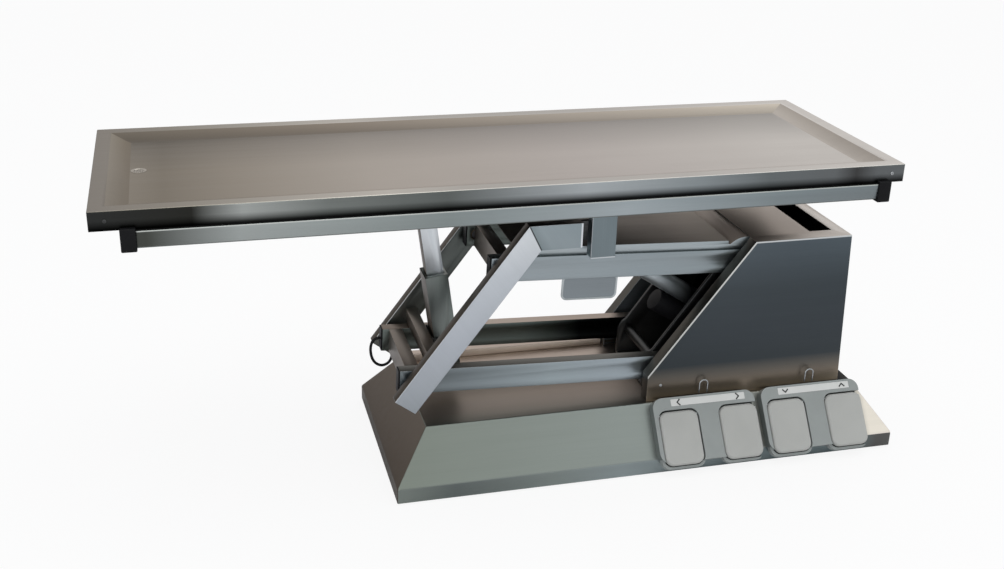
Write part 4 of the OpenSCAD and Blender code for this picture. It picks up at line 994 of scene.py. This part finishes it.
def model_labels():
    """Label strips with plain arrows: left and right for the tilt, down and up for the lift."""
    strips, marks = [], []
    for node, turns in zip(UNITS, ((pi / 2, -pi / 2), (pi, 0))):
        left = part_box(node)[0].x + LABEL_LEFT
        lo = (left + LABEL_PLAY, LABEL_LOW + LABEL_PLAY, UNIT_HIGH - LABEL_SUNK)
        hi = (left + LABEL_WIDE - LABEL_PLAY, LABEL_LOW + LABEL_TALL - LABEL_PLAY, UNIT_HIGH)
        strip = round_block("label_strip", lo, hi, 0.001, 3)
        strips.append(place(ease_edges(strip, 0.0002, 2), on_slope))
        for along, turn in zip((ARROW_FROM_END, LABEL_WIDE - ARROW_FROM_END), turns):
            spot = (left + along, LABEL_LOW + LABEL_TALL / 2, UNIT_HIGH)
            marks.append(place(chevron("label_arrow", spot, ARROW_WIDE, turn), on_slope))
    settle(dress(merged("label_strips", strips), label_film), "base", "label", "pedal_labels")
    settle(dress(merged("label_arrows", marks), print_black), "base", "label")


# Everything else, eased

# By slot: the usual finish, and the nodes of each body
EASED = {
    "tube_steel": (tube_across, {
        "lower_links": ("lower_link_near", "lower_link_far", "lower_cross_tube"),
        "upper_links": ("upper_link_near", "upper_link_far", "upper_cross_tube"),
        "carriage": ("arm_near", "arm_far", "arm_cross_tube"),
        "table_top": ("tray_stiffeners", "tray_cross_bars", "tray_posts"),
        "tilt_sleeve_body": ("tilt_sleeve",)}),
    "pressed_steel": (sheet_cover, {
        "upper_links": ("link_cover",)}),
    # dark_steel here is painted shade on parts under the top and inside the base
    "dark_steel": (dark_steel, {
        "base": ("pivot_tower_near", "pivot_tower_far", "actuator_bracket", "base_beam_near",
                 "base_beam_far", "base_cross_beams", "foot_legs"),
        "upper_links": ("actuator_beam",),
        "carriage": ("tilt_ears", "sleeve_lugs"),
        "table_top": ("tilt_head", "rail_brackets")}),
    # dark_steel here is painted shade on the turned parts
    "turned_steel": (dark_steel, {
        "table_top": ("rail_near", "rail_far", "drain"),
        "base": ("fixed_shaft_low", "fixed_shaft_high"),
        "carriage": ("link_pins",),
        "lift_tube": ("lift_cylinder",),
        "lift_push_rod": ("lift_rod",),
        "tilt_column_body": ("tilt_column",)}),
    "bronze": (bush_bronze, {
        "lower_links": ("lower_link_bushes",),
        "upper_links": ("upper_link_bushes",)}),
    "black_plastic": (black_plastic, {
        "lower_links": ("lower_link_plugs",),
        "upper_links": ("upper_link_plugs",),
        "table_top": ("rail_caps",),
        "base": ("control_box", "mains_inlet"),
        "lift_tube": ("lift_motor",)}),
    "label": (plate_face, {
        "upper_links": ("name_plate",)}),
    "feet_rubber": (foot_rubber, {
        "base": ("levelling_feet",)}),
}

# How wide the edges are rounded
WIDE = 0.0012
WIDTHS = {
    0.0004: ("drain",),
    0.0006: ("rail_near", "rail_far", "link_cover"),
    0.0008: ("name_plate", "mains_inlet"),
    0.0016: ("lower_link_near", "lower_link_far", "upper_link_near", "upper_link_far", "arm_near",
             "arm_far", "tilt_sleeve", "tray_posts"),
    0.0020: ("rail_caps",),
    0.0040: ("tilt_column",),
}
WIDTH_OF = {node: width for width, nodes in WIDTHS.items() for node in nodes}

DUCT_NEAR, DUCT_END, DUCT_RISE = 0.11, 0.25, 0.0045


def of_tube(side, top, fold):
    """The painted tones of a drawn tube: its sides, its upper side and its near upper fold, with painted
    shade, reflection and highlights.
    """
    def finish_of(n, c):
        if n.y < -0.3 and n.z > 0.2:
            return fold
        return top if n.z > 0.4 else side
    return finish_of


def of_rail(n, c):
    """The upper face of a rail is dark, as a painted shadow."""
    return rail_top_painted_shadow if n.z > 0.6 else rail_steel


def of_post(n, c):
    """The post's near left fold gets a painted highlight."""
    return tube_edge_painted_highlight if n.y < -0.3 and n.x < -0.3 else tube_post


def of_cover(n, c):
    """The link cover's near side and its nose are lighter, with painted light."""
    if n.y < -0.5:
        return cover_side_painted_light
    return cover_nose_painted_light if c.x > 0.42 and n.z > 0.1 else sheet_cover


def of_plate(n, c):
    """The plate's rim stands around its sunk face."""
    return plate_face if n.y < -0.9 and c.y > PLATE_FRONT + 0.0004 else plate_rim


def of_control_box(n, c):
    """The pale cable duct beside the black box, its side painted near white as painted light."""
    if c.z > DECK + 0.024 or c.y < DUCT_NEAR or c.x > DUCT_END:
        return black_plastic
    return duct_top if n.z > 0.5 else duct_side_painted_light


def raise_duct(piece):
    """Lifts the duct's top a little, up to just under the links."""
    for v in piece.data.vertices:
        if v.co.y > DUCT_NEAR and v.co.x < DUCT_END and DECK + 0.006 < v.co.z < DECK + 0.022:
            v.co.z += DUCT_RISE


FINISHES = {
    "lower_link_near": of_tube(tube_low, tube_top, tube_edge_painted_highlight),
    "lower_link_far": of_tube(tube_far_painted_shade, tube_top_far, tube_top_far),
    "upper_link_near": of_tube(tube_high, tube_top_high, tube_top_high),
    "upper_link_far": of_tube(tube_far_painted_shade, tube_top_far, tube_top_far),
    "arm_near": of_tube(tube_raked, tube_top_raked_painted_shade, tube_edge_painted_highlight),
    "arm_far": of_tube(tube_raked_far, tube_top_raked_painted_shade, tube_edge_painted_highlight),
    "rail_near": of_rail,
    "rail_far": of_rail,
    # Painted shade on the column's and sleeve's left faces
    "tilt_column": lambda n, c: column_side_painted_shade if n.x < -0.6 else column_steel,
    "tilt_sleeve": lambda n, c: column_side_painted_shade if n.x < -0.6 else sleeve_steel,
    "tray_stiffeners": lambda n, c: tube_plain,
    "tray_posts": of_post,
    # Painted light and shade on the lift cylinder
    "lift_cylinder": lambda n, c: inside_painted_light_and_shade,
    "link_cover": of_cover,
    "name_plate": of_plate,
    "control_box": of_control_box,
}


def ease_everything_else():
    """An eased and finished copy of every node that has no model of its own above."""
    for slot, (usual, bodies) in EASED.items():
        for body, nodes in bodies.items():
            for node in nodes:
                piece = eased_copy(node, WIDTH_OF.get(node, WIDE))
                if node == "control_box":
                    raise_duct(piece)
                if node in FINISHES:
                    paint(piece, FINISHES[node])
                else:
                    dress(piece, usual)
                settle(piece, body, slot, node)


for node in ("pedal_hangers", "pedal_pins"):
    dress(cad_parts[node], turned_steel)

model_cable()
model_top_pan()
model_drain()
model_screws()
model_skirt()
model_housing()
for unit, pedals in UNITS.items():
    model_pedal_unit(unit)
    for pedal in pedals:
        model_pedal(pedal)
model_labels()
ease_everything_else()


# Stage and light

def make_floor():
    """A pale floor that keeps the table's shadow and shows white to the camera."""
    bpy.ops.mesh.primitive_plane_add(size=60.0, location=(0, 0, -0.0005))
    floor = bpy.context.object
    floor.name = "studio_floor"
    material = bpy.data.materials.new("studio_floor")
    material.use_nodes = True
    tree = material.node_tree
    tree.nodes.remove(tree.nodes["Principled BSDF"])
    matt = node_of(tree, "ShaderNodeBsdfDiffuse", Color=(0.82, 0.82, 0.82, 1.0))
    glow = node_of(tree, "ShaderNodeEmission", Color=(1.0, 1.0, 1.0, 1.0), Strength=1.0)
    path = tree.nodes.new("ShaderNodeLightPath")
    seen = math_node(tree, "MULTIPLY", path.outputs["Is Camera Ray"], 0.89)
    mix = tree.nodes.new("ShaderNodeMixShader")
    tree.links.new(seen, mix.inputs[0])
    tree.links.new(matt.outputs[0], mix.inputs[1])
    tree.links.new(glow.outputs[0], mix.inputs[2])
    tree.links.new(mix.outputs[0], tree.nodes["Material Output"].inputs["Surface"])
    floor.data.materials.append(material)


def make_world():
    """A white room: plain to the eye, with the soft tints of a workshop in the metal."""
    world = bpy.data.worlds.new("studio")
    scene.world = world
    world.use_nodes = True
    tree = world.node_tree
    link = tree.links.new
    room = tree.nodes["Background"]
    room.inputs["Strength"].default_value = 0.85
    room.inputs["Color"].default_value = (0.96, 0.97, 1.0, 1.0)
    seen = node_of(tree, "ShaderNodeBackground", Color=(1, 1, 1, 1), Strength=1.0)
    where = tree.nodes.new("ShaderNodeTexCoord")
    split = tree.nodes.new("ShaderNodeSeparateXYZ")
    link(where.outputs["Generated"], split.inputs[0])
    behind = ramp_between(tree, split.outputs["Z"], [
        (0.0, (0.36, 0.31, 0.27, 1)), (0.25, (0.80, 0.77, 0.74, 1)), (0.6, (1.0, 1.0, 1.0, 1))])
    before = ramp_between(tree, split.outputs["Z"], [
        (0.0, (0.80, 0.84, 0.88, 1)), (0.6, (0.95, 1.0, 0.97, 1))])
    side = map_range(tree, split.outputs["Y"], -0.25, 0.35)
    mirror = node_of(tree, "ShaderNodeBackground", Strength=1.0)
    link(mixed(tree, side, before, behind), mirror.inputs["Color"])
    path = tree.nodes.new("ShaderNodeLightPath")
    shiny = tree.nodes.new("ShaderNodeMixShader")
    link(path.outputs["Is Glossy Ray"], shiny.inputs[0])
    link(room.outputs[0], shiny.inputs[1])
    link(mirror.outputs[0], shiny.inputs[2])
    plain = tree.nodes.new("ShaderNodeMixShader")
    straight = math_node(tree, "MAXIMUM", path.outputs["Is Camera Ray"],
                         path.outputs["Is Transmission Ray"])
    link(straight, plain.inputs[0])
    link(shiny.outputs[0], plain.inputs[1])
    link(seen.outputs[0], plain.inputs[2])
    link(plain.outputs[0], tree.nodes["World Output"].inputs["Surface"])


def make_lamp(name, place_at, aim, size, power):
    """A soft box at a place, turned to its aim."""
    data = bpy.data.lights.new(name, "AREA")
    data.shape = "RECTANGLE"
    data.size, data.size_y = size
    data.energy = power
    lamp = bpy.data.objects.new(name, data)
    scene.collection.objects.link(lamp)
    lamp.location = place_at
    lamp.rotation_euler = (Vector(aim) - Vector(place_at)).to_track_quat("-Z", "Y").to_euler()


make_floor()
make_world()
make_lamp("soft_box_above", (0.3, -0.6, 3.2), (0, 0, 0.5), (3.0, 2.2), 28)
make_lamp("soft_box_front", (-1.4, -3.2, 1.6), (0, 0, 0.4), (2.4, 1.6), 14)
